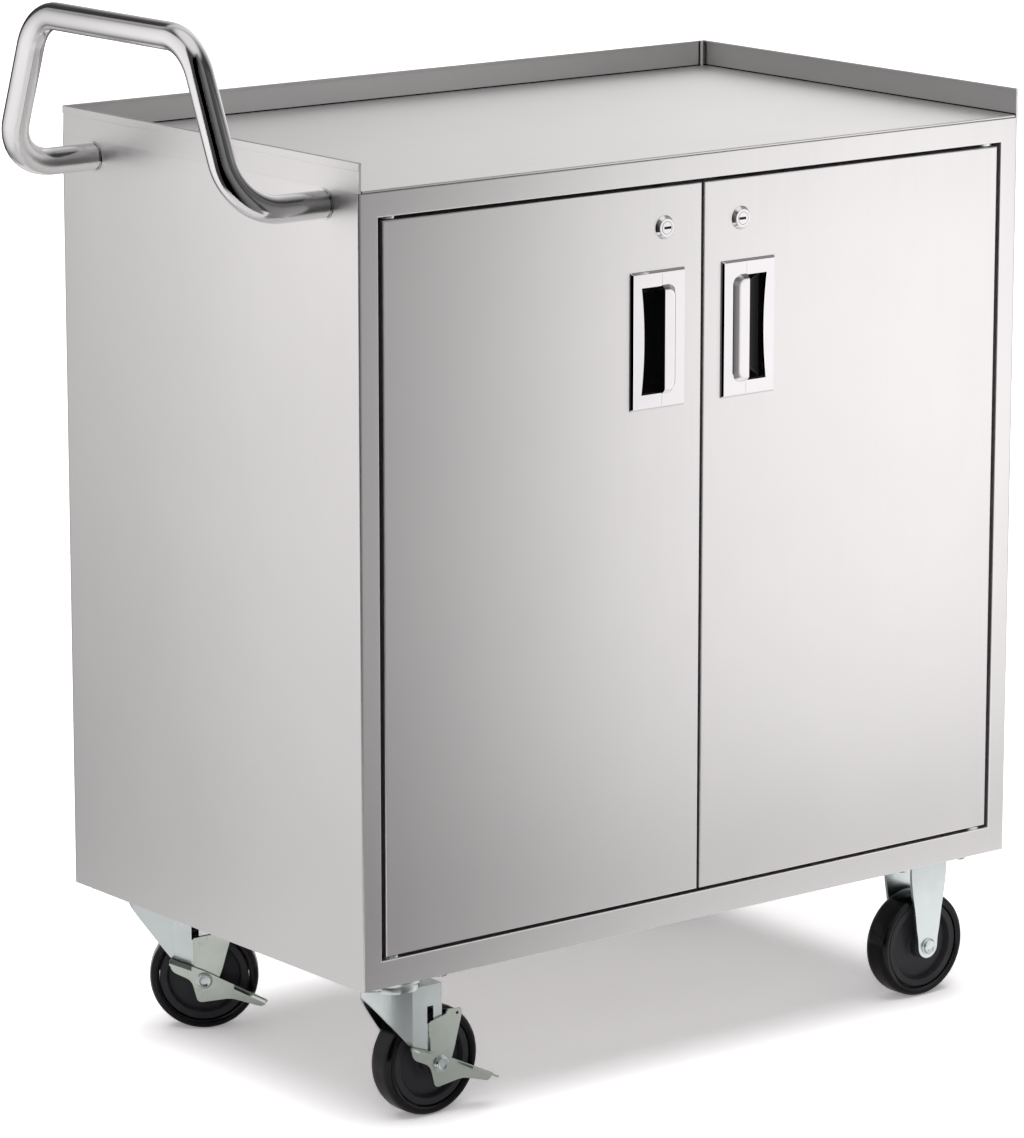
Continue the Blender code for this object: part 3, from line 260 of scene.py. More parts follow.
# Each card by its name, first corner, two edges and two tone curves
CARDS = (
    ("front card", (-0.3, -0.576, 0), (1.9, 0, 0), (0, 0, 1.3), FRONT_RUN, FRONT_RISE),
    ("front ground card", (-0.3, -0.576, 0.0004), (1.9, 0, 0), (0, 0.345, 0), GROUND_RUN, EVEN_RISE),
    ("left card", (-0.6825, -0.1, 0), (0, 1.9, 0), (0, 0, 1.3), LEFT_RUN, LEFT_RISE),
    ("left ground card", (-0.6825, -0.1, 0.0004), (0, 1.9, 0), (0.345, 0, 0), LEFT_RUN, SIDE_RISE),
    ("viewer screen", (-2.6, -0.75, 0), (2.25, 0, 0), (0, 0, 2.2), SCREEN_RUN, EVEN_RISE),
    ("back card", (-0.6, 0.9, 0.75), (2.8, 0, 0), (0, 0, 1.2), BACK_RUN, BACK_RISE),
)
# Lamps and the photograph's camera, with angles in degrees
SUN_STRENGTH = 2.6
SUN_SPREAD = 62
SUN_LEAN = -6
BOX_PLACE = (-2.6, -3.4, 2.4)
BOX_AIM = (0, 0, 0.4)
BOX_SIZE = 2.0
BOX_WATTS = 18
LENS = 175.3
CAMERA_PLACE = (-3.1409, -4.0286, 1.5943)
CAMERA_DOWN = 12.68
CAMERA_TURN = -38.05


# Small helpers


def linear(code):
    """An sRGB hex colour as linear red, green, blue and alpha."""
    channels = []
    for start in (0, 2, 4):
        share = int(code[start:start + 2], 16) / 255
        channels.append(share / 12.92 if share <= 0.04045 else ((share + 0.055) / 1.055) ** 2.4)
    return (*channels, 1)


def add_node(tree, kind, inputs=None, **settings):
    """Add a node with its settings. An input is given a value, a socket to link from, or a
    node whose first output is linked."""
    node = tree.nodes.new(kind)
    for name, value in settings.items():
        setattr(node, name, value)
    for key, value in (inputs or {}).items():
        if isinstance(value, bpy.types.Node):
            value = value.outputs[0]
        if isinstance(value, bpy.types.NodeSocket):
            tree.links.new(value, node.inputs[key])
        else:
            node.inputs[key].default_value = value
    return node


def settle(piece):
    """Turn a piece's modifiers into plain mesh."""
    graph = bpy.context.evaluated_depsgraph_get()
    source = piece.evaluated_get(graph)
    mesh = bpy.data.meshes.new_from_object(source, preserve_all_data_layers=True, depsgraph=graph)
    piece.modifiers.clear()
    piece.data = mesh


def add_object(name, data):
    """Link a mesh, lamp or camera as an object."""
    thing = bpy.data.objects.new(name, data)
    bpy.context.collection.objects.link(thing)
    return thing


def link_piece(name, solid, place):
    """Link a built shape as an object at the origin, with its place in its mesh."""
    solid.transform(place)
    if place.determinant() < 0:
        bmesh.ops.reverse_faces(solid, faces=solid.faces)
    mesh = bpy.data.meshes.new(name)
    solid.to_mesh(mesh)
    solid.free()
    return add_object(name, mesh)


def face_outward(solid, toward=None):
    """Make the faces consistent; an open sheet's outermost face is turned the way it is told."""
    bmesh.ops.recalc_face_normals(solid, faces=solid.faces)
    if toward:
        toward = Vector(toward)
        outermost = max(solid.faces, key=lambda face: face.calc_center_median().dot(toward))
        if outermost.normal.dot(toward) < 0:
            bmesh.ops.reverse_faces(solid, faces=solid.faces)


def hold(piece, body, nodes=()):
    """Tell the frame what a finished piece rides on and stands for."""
    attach(piece, body)
    if nodes:
        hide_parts(*nodes)


def finish_piece(name, solid, look, body, nodes=(), place=CABINET, wall=0, rounding=0,
                 steps=2, keepers=(), adders=(), cutters=(), toward=None, angle=50):
    """Thicken, join, cut and round a shape, settle it with smooth normals, and hold it on its
    body. Sizes are in millimetres; an open sheet names the way that its outermost face points."""
    bmesh.ops.remove_doubles(solid, verts=solid.verts, dist=0.001)
    face_outward(solid, toward)
    piece = link_piece(name, solid, place)
    piece.data.materials.append(look)
    if wall:
        change = piece.modifiers.new("wall", "SOLIDIFY")
        change.thickness = wall * 0.001
        change.use_even_offset = True
    tools = []
    for operation, shapes in (("INTERSECT", keepers), ("UNION", adders), ("DIFFERENCE", cutters)):
        for shape in shapes:
            face_outward(shape)
            tool = link_piece(f"{name}_tool", shape, place)
            change = piece.modifiers.new(operation, "BOOLEAN")
            change.operation = operation
            change.solver = "EXACT"
            change.object = tool
            tools.append(tool)
    if rounding:
        change = piece.modifiers.new("rounding", "BEVEL")
        change.width = rounding * 0.001
        change.segments = steps
        change.limit_method = "ANGLE"
        change.angle_limit = math.radians(angle)
    settle(piece)
    for tool in tools:
        bpy.data.objects.remove(tool)
    piece.data.shade_smooth()
    piece.data.set_sharp_from_angle(angle=math.radians(angle))
    change = piece.modifiers.new("flat faces stay flat", "WEIGHTED_NORMAL")
    change.keep_sharp = True
    settle(piece)
    hold(piece, body, nodes)


def loft(solid, rings, joined=False):
    """Skin a row of rings, each with the same number of points, with quads."""
    rows = [[solid.verts.new(point) for point in ring] for ring in rings]
    pairs = list(zip(rows, rows[1:]))
    if joined:
        pairs.append((rows[-1], rows[0]))
    for first, second in pairs:
        for index in range(len(first)):
            after = (index + 1) % len(first)
            solid.faces.new((first[index], first[after], second[after], second[index]))
    return rows


def closed_loft(solid, rings):
    """Skin a row of rings and close both of its ends."""
    rows = loft(solid, rings)
    solid.faces.new(rows[0])
    solid.faces.new(rows[-1])


def block(low, high, solid=None):
    """A closed box between any two opposite corners, on its own or added to a shape."""
    solid = solid or bmesh.new()
    low, high = Vector(low), Vector(high)
    place = Matrix.Translation((low + high) / 2) @ Matrix.Diagonal((*(abs(n) for n in high - low), 1))
    bmesh.ops.create_cube(solid, size=1, matrix=place)
    return solid


def prism(outline, axis, start, end, solid=None):
    """An outline, given in the two other coordinates, drawn out along an axis."""
    solid = solid or bmesh.new()
    rings = []
    for level in (start, end):
        ring = [list(pair) for pair in outline]
        for point in ring:
            point.insert("XYZ".index(axis), level)
        rings.append(ring)
    closed_loft(solid, rings)
    return solid


def turned(profile, axis, centre=(0, 0, 0), sides=64, hollow=False, solid=None):
    """Turn (radius, level) points about an axis; a hollow profile closes on itself."""
    solid = solid or bmesh.new()
    rings = []
    for radius, level in profile:
        ring = []
        for index in range(sides):
            angle = math.tau * index / sides
            point = [radius * math.cos(angle), radius * math.sin(angle)]
            point.insert("XYZ".index(axis), level)
            ring.append(Vector(centre) + Vector(point))
        rings.append(ring)
    if hollow:
        loft(solid, rings, joined=True)
    else:
        closed_loft(solid, rings)
    return solid


def drill(radius, start, end, axis, centre=(0, 0, 0), sides=48):
    """A round cutter along an axis, between two levels."""
    return turned(((radius, start), (radius, end)), axis, centre, sides)


def arc(centre, radius, start, end, steps):
    """Points on an arc between two angles in degrees."""
    points = []
    for step in range(steps + 1):
        angle = math.radians(start + (end - start) * step / steps)
        points.append((centre[0] + radius * math.cos(angle), centre[1] + radius * math.sin(angle)))
    return points


# Pattern sizes. Handling leaves patches of about 143 mm, seven to the metre; plate and mouldings
# have a pebble of about 1.1 mm, coarser than the real one, so that it shows
PATCHES_PER_METRE = 7
PEBBLES_PER_METRE = 900
GRIT_STRETCH = 90
GRIT_SPREAD = 0.035
RELIEF_DEPTH = 0.0002


def new_material(name):
    """An empty node material and its tree."""
    material = bpy.data.materials.new(name)
    material.use_nodes = True
    material.node_tree.nodes.clear()
    return material, material.node_tree


def end_surface(tree, colours, cloud, gloss, spread, relief, bump, metallic=1.0, shine=0.5):
    """End a material: one pattern mixes its two colours, one spreads its roughness over a
    range and one raises its relief."""
    tone = add_node(tree, "ShaderNodeMix", {
        "Factor": cloud, 6: linear(colours[0]), 7: linear(colours[1]),
    }, data_type="RGBA")
    rough = add_node(tree, "ShaderNodeMapRange", {
        "Value": gloss, "From Min": spread[0], "From Max": spread[1],
        "To Min": spread[2], "To Max": spread[3],
    })
    raised = add_node(tree, "ShaderNodeBump", {
        "Height": relief, "Strength": bump, "Distance": RELIEF_DEPTH,
    })
    shader = add_node(tree, "ShaderNodeBsdfPrincipled", {
        "Base Color": tone.outputs[2], "Metallic": metallic, "Roughness": rough,
        "Specular IOR Level": shine, "Normal": raised,
    })
    add_node(tree, "ShaderNodeOutputMaterial", {"Surface": shader})


def sheet_metal(name, colours, roughness, grain, axis, bump=0.02):
    """Ground and brushed sheet: grit lines along one axis, with a faint cloudiness from
    handling. The lines give the eye the direction of the grind and a soft, stretched gloss.
    Their spacing is in millimetres, coarser than the real grit, so that they show."""
    material, tree = new_material(name)
    place = add_node(tree, "ShaderNodeTexCoord").outputs["Object"]
    lines = [1000 / grain] * 3
    lines["XYZ".index(axis)] = 1000 / (grain * GRIT_STRETCH)
    stretched = add_node(tree, "ShaderNodeMapping", {"Vector": place, "Scale": lines})
    grit = add_node(tree, "ShaderNodeTexNoise", {
        "Vector": stretched, "Scale": 1, "Detail": 2, "Roughness": 0.6,
    })
    cloud = add_node(tree, "ShaderNodeTexNoise", {
        "Vector": place, "Scale": PATCHES_PER_METRE, "Detail": 3, "Roughness": 0.55,
    })
    spread = (0.25, 0.75, roughness - GRIT_SPREAD, roughness + GRIT_SPREAD)
    end_surface(tree, colours, cloud, grit, spread, grit, bump)
    return material


def plate_or_moulding(name, colours, roughness, patch, bump, metallic=1.0, shine=0.5):
    """Plate on steel, or rubber and plastic without metal: patches, by their size in
    millimetres, of slightly other colour and gloss over a fine pebble."""
    material, tree = new_material(name)
    place = add_node(tree, "ShaderNodeTexCoord").outputs["Object"]
    cloud = add_node(tree, "ShaderNodeTexNoise", {
        "Vector": place, "Scale": 1000 / patch, "Detail": 4, "Roughness": 0.6,
    })
    pebble = add_node(tree, "ShaderNodeTexNoise", {"Vector": place, "Scale": PEBBLES_PER_METRE, "Detail": 1})
    spread = (0.3, 0.7, roughness * 0.8, roughness * 1.2)
    end_surface(tree, colours, cloud, cloud, spread, pebble, bump, metallic, shine)
    return material


# Stainless sheet, ground with fine grit: bright and soft, the grind just readable up close
satin = ("e2e1e1", "e9e8e7")
steel_upright = sheet_metal("satin stainless, upright grain", satin, 0.36, 1.1, "Z")
steel_across = sheet_metal("satin stainless, cross grain", satin, 0.36, 1.1, "X")
steel_deck = sheet_metal("satin stainless, deck grain", satin, 0.42, 1.1, "X")
# Stainless tube, belt polished: sharp bands of light along the tube
polished_tube = sheet_metal("polished stainless tube", ("d6d6d6", "e0e0e0"), 0.13, 0.9, "Z", 0.01)
# Nickel-chrome plate on zinc castings: near mirror, with a trace of unevenness
chrome = plate_or_moulding("bright chrome plate", ("ecebec", "e5e4e6"), 0.09, 20, 0.01)
# Blue-passivated zinc on pressed steel: cool, faintly green, patchy sheen
zinc = plate_or_moulding("blue zinc plate", ("dce4e4", "d3dcda"), 0.22, 30, 0.02)
# Yellow-passivated zinc: the same plate with a straw and olive cast
yellow_zinc = plate_or_moulding("yellow zinc plate", ("d0d9d5", "c2c9bb"), 0.24, 20, 0.02)
# Solid rubber tread with the shine of a fresh moulding
rubber = plate_or_moulding("black tread rubber", ("0d0d0e", "0a0a0a"), 0.15, 30, 0.03, 0.0, 0.25)
# Glass-filled nylon core: dark grey, even, fine-grained
core_plastic = plate_or_moulding("dark grey moulded nylon", ("3a3b3f", "35363a"), 0.38, 20, 0.08, 0.0, 0.2)
# ABS in the pull cups and catches: black with a soft gloss
black_plastic = plate_or_moulding("black moulded plastic", ("131313", "0f0f0f"), 0.10, 20, 0.0, 0.0)
# Black and dull, in the worktop's seams and behind the corner's slit: painted shade that stands in for the
# shadow in those gaps
seam_shade_black = plate_or_moulding("black seam shade", ("0c0c0c", "0a0a0a"), 0.5, 20, 0.02, 0.0, 0.2)


NODE_LOOKS = (
    (rubber, "wheel_tread"), (core_plastic, "wheel_core"), (yellow_zinc, "brake"),
    (zinc, "caster_plate yoke fork axle kingpin stud pivot_pin lock_cam"),
    (chrome, "lock bezel"), (black_plastic, "cup door_catch"), (polished_tube, "push_handle"),
    (steel_across, "worktop rail back_panel floor_panel shelf"),
)


def dress_nodes():
    """Every CAD node gets the first look that has a word of its name, or else satin steel."""
    for name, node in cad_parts.items():
        fitting = [look for look, words in NODE_LOOKS if any(word in name for word in words.split())]
        for slot in node.material_slots:
            slot.material = fitting[0] if fitting else steel_upright


dress_nodes()


# Cabinet: the wrap-round frame and sides, the worktop and its lips


def frame_ring(left, right, bottom, top, y):
    """The four corners of an upright rectangle at one depth."""
    return [(left, y, bottom), (right, y, bottom), (right, y, top), (left, y, top)]


def fold(radius):
    """How far a folded sheet has come across and back, from its face to its flange."""
    turns = [math.pi / 2 * step / FOLD_STEPS for step in range(FOLD_STEPS + 1)]
    return [(radius * (1 - math.sin(turn)), radius * (1 - math.cos(turn))) for turn in turns]


def build_wrap():
    """One folded sheet round the front, from the door opening's flange to the panels' ends."""
    solid = bmesh.new()
    left, right, bottom, top = OPENING
    rings = [frame_ring(left, right, bottom, top, FRAME_DEPTH)]
    for across, back in reversed(fold(OPENING_FOLD)):
        rings.append(frame_ring(left - across, right + across, bottom - across, top + across, back))
    for across, back in fold(OUTER_FOLD):
        head = across * TOP_FOLD / OUTER_FOLD
        rings.append(frame_ring(across, RIGHT_FACE - across, head, FRAME_TOP - head, back))
    rings.append(frame_ring(0, RIGHT_FACE, 0, FRAME_TOP, FRAME_DEPTH))
    last = loft(solid, rings)[-1]
    for lower, upper in ((last[0], last[3]), (last[1], last[2])):
        ends = [solid.verts.new((vert.co.x, PANEL_END, vert.co.z)) for vert in (upper, lower)]
        solid.faces.new((lower, upper, *ends))
    holes = [drill(STUD_HOLE, -3, 6, "X", (0, y, LEG_HEIGHT), 32) for y in (LEG_INSET, DEPTH - LEG_INSET)]
    nodes = ("left_stile", "right_stile", "top_rail", "bottom_rail", "left_side_panel", "right_side_panel")
    finish_piece("cabinet_wrap", solid, steel_upright, "cart", nodes,
                 wall=SHEET, cutters=holes, toward=(0, -1, 0))


def lip_section():
    """A lip's outline, from its outside in: a hem standing a little proud of the web below it."""
    level = LIP_TOP - HEM_FOLD
    section = [(0, LIP_FOOT), (0.02, LIP_FOOT + 1)] + [(inset, LIP_TOP - drop) for inset, drop in HEM_STEP]
    section += arc((HEM_FOLD, level), HEM_FOLD, 180, 90, 3)
    section += arc((LIP_WIDTH - HEM_FOLD, level), HEM_FOLD, 90, 0, 3)
    web = LIP_WIDTH - WEB_INSET
    return section + [(LIP_WIDTH, LIP_TOP - 2.6), (web, LIP_TOP - 3.2), (web, LIP_FOOT)]


def build_worktop():
    """The deck between three lips, and a thin skin and a weld bead that close the slit in the
    rear right corner from behind."""
    solid = bmesh.new()
    edge = LIP_WIDTH + DECK_GROOVE
    front = arc((DECK_FOLD, HEIGHT - DECK_FOLD), DECK_FOLD, 180, 90, 4)
    deck = [(0.0, DECK_BOTTOM), *front, (DEPTH - edge, HEIGHT), (DEPTH - edge, DECK_BOTTOM)]
    prism(deck, "X", edge, WIDTH - edge, solid)
    section = lip_section()
    slit = WIDTH - CORNER_SLIT
    closed_loft(solid, [[(u, 0, z) for u, z in section], [(u, BACK_FACE - u, z) for u, z in section],
                        [(slit, BACK_FACE - u, z) for u, z in section]])
    closed_loft(solid, [[(RIGHT_FACE - u, y, z) for u, z in section] for y in (0, DEPTH - 0.3)])
    skin = section[:10] + [(SHEET, LIP_FOOT)]
    ends = (slit, WIDTH - LIP_WIDTH - CORNER_GAP)
    closed_loft(solid, [[(x, BACK_FACE - u, z) for u, z in skin] for x in ends])
    bead = ((WELD_RADIUS, DECK_BOTTOM), (WELD_RADIUS, LIP_TOP - 0.8), (1.3, LIP_TOP - 0.2))
    turned(bead, "Z", (WIDTH - WELD_INSETS[0], DEPTH - WELD_INSETS[1], 0), 24, solid=solid)
    finish_piece("worktop_tray", solid, steel_deck, "cart", ("worktop",))


def build_seam_shade():
    """Painted shade: a thin black bead in the corner between the deck and its lips, in place of the shadow
    gap there, and more black behind the corner's slit, in place of the shadow in it."""
    solid = bmesh.new()
    wall = LIP_WIDTH - WEB_INSET
    foot = DECK_BOTTOM + 0.1
    section = [(wall, foot), (wall, HEIGHT + SHADE_BEAD), (wall + SHADE_BEAD * 0.6, HEIGHT + SHADE_BEAD * 0.4),
               (wall + SHADE_BEAD, HEIGHT), (wall + SHADE_BEAD, foot)]
    closed_loft(solid, [
        [(u, 1, z) for u, z in section], [(u, DEPTH - u, z) for u, z in section],
        [(WIDTH - u, DEPTH - u, z) for u, z in section], [(WIDTH - u, 1, z) for u, z in section],
    ])
    low = (WIDTH - CORNER_SLIT - 0.5, DEPTH - SLIT_SHADE[0], HEIGHT + 0.2)
    block(low, (WIDTH - LIP_WIDTH + 0.2, DEPTH - SLIT_SHADE[1], LIP_TOP - 1), solid)
    finish_piece("worktop_seam_shade", solid, seam_shade_black, "cart")


def build_bushes():
    """The flanged bushes in the rails, at the four door pivots."""
    solid = bmesh.new()
    for rail, way in ((OPENING[2], 1), (OPENING[3], -1)):
        profile = [(radius, rail + way * level) for radius, level in BUSH]
        for x in (PIVOT_X, WIDTH - PIVOT_X):
            turned(profile, "Z", (x, PIVOT_Y, 0), 40, hollow=True, solid=solid)
    finish_piece("pivot_bushes", solid, zinc, "cart")


# Doors, pulls and locks


def side_place(side):
    """The left door's frame, or its mirror image for the right door."""
    if side == "left":
        return CABINET
    return CABINET @ Matrix.Translation((WIDTH, 0, 0)) @ Matrix.Diagonal((-1, 1, 1, 1))


def build_door(side):
    """A folded door skin with its pull, lock and pivot holes."""
    solid = bmesh.new()
    left, right, bottom, top = LEFT_DOOR
    rings = [frame_ring(left, right, bottom, top, DOOR_BACK)]
    for across, back in reversed(fold(DOOR_FOLD)):
        rings.append(frame_ring(left + across, right - across, bottom + across, top - across, back))
    solid.faces.new(loft(solid, rings)[-1])
    half = RECESS_HALF + CUTOUT_GAP
    recess = block((RECESS_NEAR - CUTOUT_GAP, -5, PULL_MIDDLE[1] - half),
                   (RECESS_FAR + CUTOUT_GAP, 5, PULL_MIDDLE[1] + half))
    lock = drill(LOCK_HOLE, -5, 5, "Y", (LOCK[0], 0, LOCK[1]))
    pivots = bmesh.new()
    for z in (bottom, top):
        turned(((PIVOT_HOLE, z - 4), (PIVOT_HOLE, z + 4)), "Z", (PIVOT_X, PIVOT_Y, 0), 32, solid=pivots)
    finish_piece(f"{side}_door_sheet", solid, steel_upright, f"{side}_door",
                 (f"{side}_door_skin",), side_place(side), wall=SHEET,
                 cutters=(recess, lock, pivots), toward=(0, -1, 0))


def rounded_rectangle(half_x, half_z, radius, steps=6):
    """Outline points about the middle of a rectangle with round corners."""
    points = []
    for quarter, (sign_x, sign_z) in enumerate(((1, 1), (-1, 1), (-1, -1), (1, -1))):
        centre = (sign_x * (half_x - radius), sign_z * (half_z - radius))
        points += arc(centre, radius, 90 * quarter, 90 * quarter + 90, steps)
    return points


def hood_ring(near, growth, y):
    """A D-shaped ring in the door's plane: a straight near edge and two round far corners."""
    corner = HOOD_CORNER + growth / 2
    turn = RECESS_FAR + growth - corner
    low, high = (PULL_MIDDLE[1] + way * (RECESS_HALF + growth) for way in (-1, 1))
    ring = [(near, low)] + arc((turn, low + corner), corner, 270, 360, 8)
    ring += arc((turn, high - corner), corner, 0, 90, 8) + [(near, high)]
    return [(x, y, z) for x, z in ring]


def build_casting(side):
    """A pull's cast bezel with bevelled edges and a raised hood over half of its opening."""
    middle_x, middle_z = PULL_MIDDLE
    half_x, half_z = PULL_SIZE[0] / 2, PULL_SIZE[1] / 2
    solid, hood, finger, mouth, creases = (bmesh.new() for _ in range(5))
    rings = []
    for inset, y in PLATE_RINGS:
        outline = rounded_rectangle(half_x - inset, half_z - inset, PLATE_CORNER - inset / 4)
        rings.append([(middle_x + x, y, middle_z + z) for x, z in outline])
    closed_loft(solid, rings)
    closed_loft(hood, [hood_ring(HOOD_NEAR, HOOD_WALL - inset, y) for inset, y in HOOD_RINGS])
    closed_loft(finger, [hood_ring(HOOD_NEAR - FINGER_REACH, -inset, y) for inset, y in FINGER_RINGS])
    outline = [(HOOD_NEAR, -RECESS_HALF), (HOOD_NEAR, RECESS_HALF)]
    for step in range(MOUTH_STEPS + 1):
        share = 1 - 2 * step / MOUTH_STEPS
        outline.append((RECESS_NEAR + MOUTH_BOW * (1 - share ** 2), RECESS_HALF * share))
    rings = []
    for growth, y in MOUTH_RINGS:
        rings.append([(x - (growth if x < HOOD_NEAR - 2 else 0), y,
                       middle_z + z + math.copysign(growth, z) * 0.7) for x, z in outline])
    closed_loft(mouth, rings)
    for way in (-1, 1):
        inner = middle_z + way * (RECESS_HALF + CREASE_GAPS[0])
        outer = middle_z + way * (half_z - CREASE_GAPS[1])
        block((HOOD_NEAR - CREASE_HALF, PLATE_FRONT - 1, inner),
              (HOOD_NEAR + CREASE_HALF, PLATE_FRONT + 0.3, outer), creases)
    finish_piece(f"{side}_pull_casting", solid, chrome, f"{side}_door",
                 (f"{side}_pull_bezel",), side_place(side), rounding=0.25, adders=(hood,),
                 cutters=(finger, mouth, creases), angle=30)


def build_well(side):
    """The cup behind a pull: a scooped hollow in a moulded shell."""
    solid = bmesh.new()
    inset, corner, depth = SCOOP_TOP
    scoop = [(inset, corner, -0.2), SCOOP_TOP]
    for step in range(1, SCOOP_STEPS + 1):
        turn = math.pi / 2 * step / SCOOP_STEPS
        scoop.append((inset - SCOOP_INWARD * (1 - math.cos(turn)), corner - 2 * step / SCOOP_STEPS,
                      depth + SCOOP_DEPTH * math.sin(turn)))
    rings = []
    for growth, corner, y in (*scoop, *CUP_RINGS):
        outline = rounded_rectangle((RECESS_FAR - RECESS_NEAR) / 2 + growth, RECESS_HALF + growth, corner)
        rings.append([((RECESS_NEAR + RECESS_FAR) / 2 + x, y, PULL_MIDDLE[1] + z) for x, z in outline])
    inner = loft(solid, rings[:len(scoop)])
    outer = loft(solid, rings[len(scoop):])
    solid.faces.new(inner[-1])
    solid.faces.new(outer[0])
    for index, vert in enumerate(inner[0]):
        after = (index + 1) % len(inner[0])
        solid.faces.new((vert, inner[0][after], outer[-1][after], outer[-1][index]))
    finish_piece(f"{side}_pull_well", solid, black_plastic, f"{side}_door",
                 (f"{side}_pull_cup",), side_place(side))


def build_lock(side):
    """A lock's chamfered face with its barrel, the plug with its keyway, and the dust flaps."""
    place = side_place(side)
    body = f"{side}_lock"
    x, z = LOCK
    face = turned(LOCK_FACE, "Y", (x, 0, z), 72, hollow=True)
    finish_piece(f"{side}_lock_face", face, chrome, f"{side}_door",
                 (f"{side}_lock_barrel",), place)
    middle = x + KEYWAY_SHIFT
    plug = turned(LOCK_PLUG, "Y", (x, 0, z))
    outline = [(middle + px, z + pz) for px, pz in rounded_rectangle(*KEYWAY, 3)]
    finish_piece(f"{side}_lock_core", plug, chrome, body, (f"{side}_lock_plug",), place,
                 cutters=(prism(outline, "Y", -6, 3),))
    shutter = bmesh.new()
    for way in (-1, 1):
        flap = [(y, z + rise * way) for y, rise in FLAP]
        prism(flap, "X", middle - FLAP_HALF, middle + FLAP_HALF, shutter)
    finish_piece(f"{side}_lock_shutter", shutter, black_plastic, body, (), place)


# Repeats and sweeps, made by Geometry Nodes


def run_nodes(name, points, edges, build, sizes, angle):
    """Run a node tree over points and edges and return its result as one mesh object, sharp
    past an angle. Its inputs are named sizes, set by identifier before it is evaluated."""
    mesh = bpy.data.meshes.new(name)
    mesh.from_pydata([CABINET @ Vector(point) for point in points], edges, [])
    piece = bpy.data.objects.new(name, mesh)
    tree = bpy.data.node_groups.new(name, "GeometryNodeTree")
    tree.interface.new_socket("Geometry", in_out="INPUT", socket_type="NodeSocketGeometry")
    tree.interface.new_socket("Geometry", in_out="OUTPUT", socket_type="NodeSocketGeometry")
    for key, value in sizes.items():
        kind = "NodeSocketInt" if isinstance(value, int) else "NodeSocketFloat"
        tree.interface.new_socket(key, in_out="INPUT", socket_type=kind)
    source = add_node(tree, "NodeGroupInput")
    shape, look = build(tree, source.outputs)
    whole = add_node(tree, "GeometryNodeRealizeInstances", {"Geometry": shape})
    dressed = add_node(tree, "GeometryNodeSetMaterial", {"Geometry": whole, "Material": look})
    add_node(tree, "NodeGroupOutput", {"Geometry": dressed})
    change = piece.modifiers.new("nodes", "NODES")
    change.node_group = tree
    for item in tree.interface.items_tree:
        if item.item_type == "SOCKET" and item.in_out == "INPUT" and item.name in sizes:
            change[item.identifier] = sizes[item.name]
    bpy.context.collection.objects.link(piece)
    settle(piece)
    piece.data.shade_smooth()
    piece.data.set_sharp_from_angle(angle=math.radians(angle))
    return piece


def sweep_tube(tree, inputs):
    """A round tube along the edges, its corners bent to one radius."""
    curve = add_node(tree, "GeometryNodeMeshToCurve", {"Mesh": inputs["Geometry"]})
    bent = add_node(tree, "GeometryNodeFilletCurve", {
        "Curve": curve, "Count": inputs["Bend steps"], "Radius": inputs["Bend radius"],
        "Limit Radius": True,
    }, mode="POLY")
    ring = add_node(tree, "GeometryNodeCurvePrimitiveCircle", {
        "Resolution": inputs["Sides"], "Radius": inputs["Tube radius"],
    })
    tube = add_node(tree, "GeometryNodeCurveToMesh", {
        "Curve": bent, "Profile Curve": ring, "Fill Caps": True,
    })
    return tube, polished_tube


def build_handle():
    """The bent push handle, with a narrow welded rim where each leg meets the panel."""
    leg = [(LEG_END, LEG_INSET, LEG_HEIGHT), (ELBOW_X, LEG_INSET, LEG_HEIGHT),
           (GRIP_X, GRIP_INSET, GRIP_HEIGHT)]
    points = leg + [(x, DEPTH - y, z) for x, y, z in reversed(leg)]
    edges = [(index, index + 1) for index in range(len(points) - 1)]
    sizes = {"Bend steps": BEND_STEPS, "Bend radius": BEND_RADIUS * 0.001,
             "Sides": TUBE_SIDES, "Tube radius": TUBE_RADIUS * 0.001}
    tube = run_nodes("push_handle_tube", points, edges, sweep_tube, sizes, 48)
    hold(tube, "cart", ("push_handle",))
    rims = bmesh.new()
    for y in (LEG_INSET, DEPTH - LEG_INSET):
        turned(RIM, "X", (0, y, LEG_HEIGHT), hollow=True, solid=rims)
    finish_piece("push_handle_rims", rims, polished_tube, "cart")


def scatter_bolts(tree, inputs):
    """A hexagon head with a low dome, washer, round shank and nut at every point, heads down."""
    parts = []
    for sides, radius, depth in ((6, "Head radius", "Head height"), (32, "Washer radius", "Washer height"),
                                 (20, "Shank radius", "Shank length"), (6, "Head radius", "Nut height")):
        parts.append(add_node(tree, "GeometryNodeMeshCylinder", {
            "Vertices": sides, "Radius": inputs[radius], "Depth": inputs[depth],
        }, fill_type="NGON"))
    parts.insert(1, add_node(tree, "GeometryNodeMeshCone", {
        "Vertices": 24, "Radius Top": inputs["Shank radius"], "Radius Bottom": inputs["Dome radius"],
        "Depth": inputs["Dome height"],
    }, fill_type="NGON"))
    bolt = add_node(tree, "GeometryNodeJoinGeometry")
    levels = ("Head level", "Dome level", "Washer level", "Shank level", "Nut level")
    for part, level in zip(parts, levels):
        offset = add_node(tree, "ShaderNodeCombineXYZ", {"Z": inputs[level]})
        moved = add_node(tree, "GeometryNodeTransform", {"Geometry": part, "Translation": offset})
        tree.links.new(moved.outputs["Geometry"], bolt.inputs["Geometry"])
    points = add_node(tree, "GeometryNodeMeshToPoints", {"Mesh": inputs["Geometry"]})
    spun = add_node(tree, "FunctionNodeRandomValue", {
        2: 0.0, 3: math.tau, "Seed": inputs["Seed"],
    }, data_type="FLOAT")
    turn = add_node(tree, "ShaderNodeCombineXYZ", {"Z": spun.outputs[1]})
    placed = add_node(tree, "GeometryNodeInstanceOnPoints", {
        "Points": points, "Instance": bolt,
        "Rotation": turn,
    })
    return placed, zinc


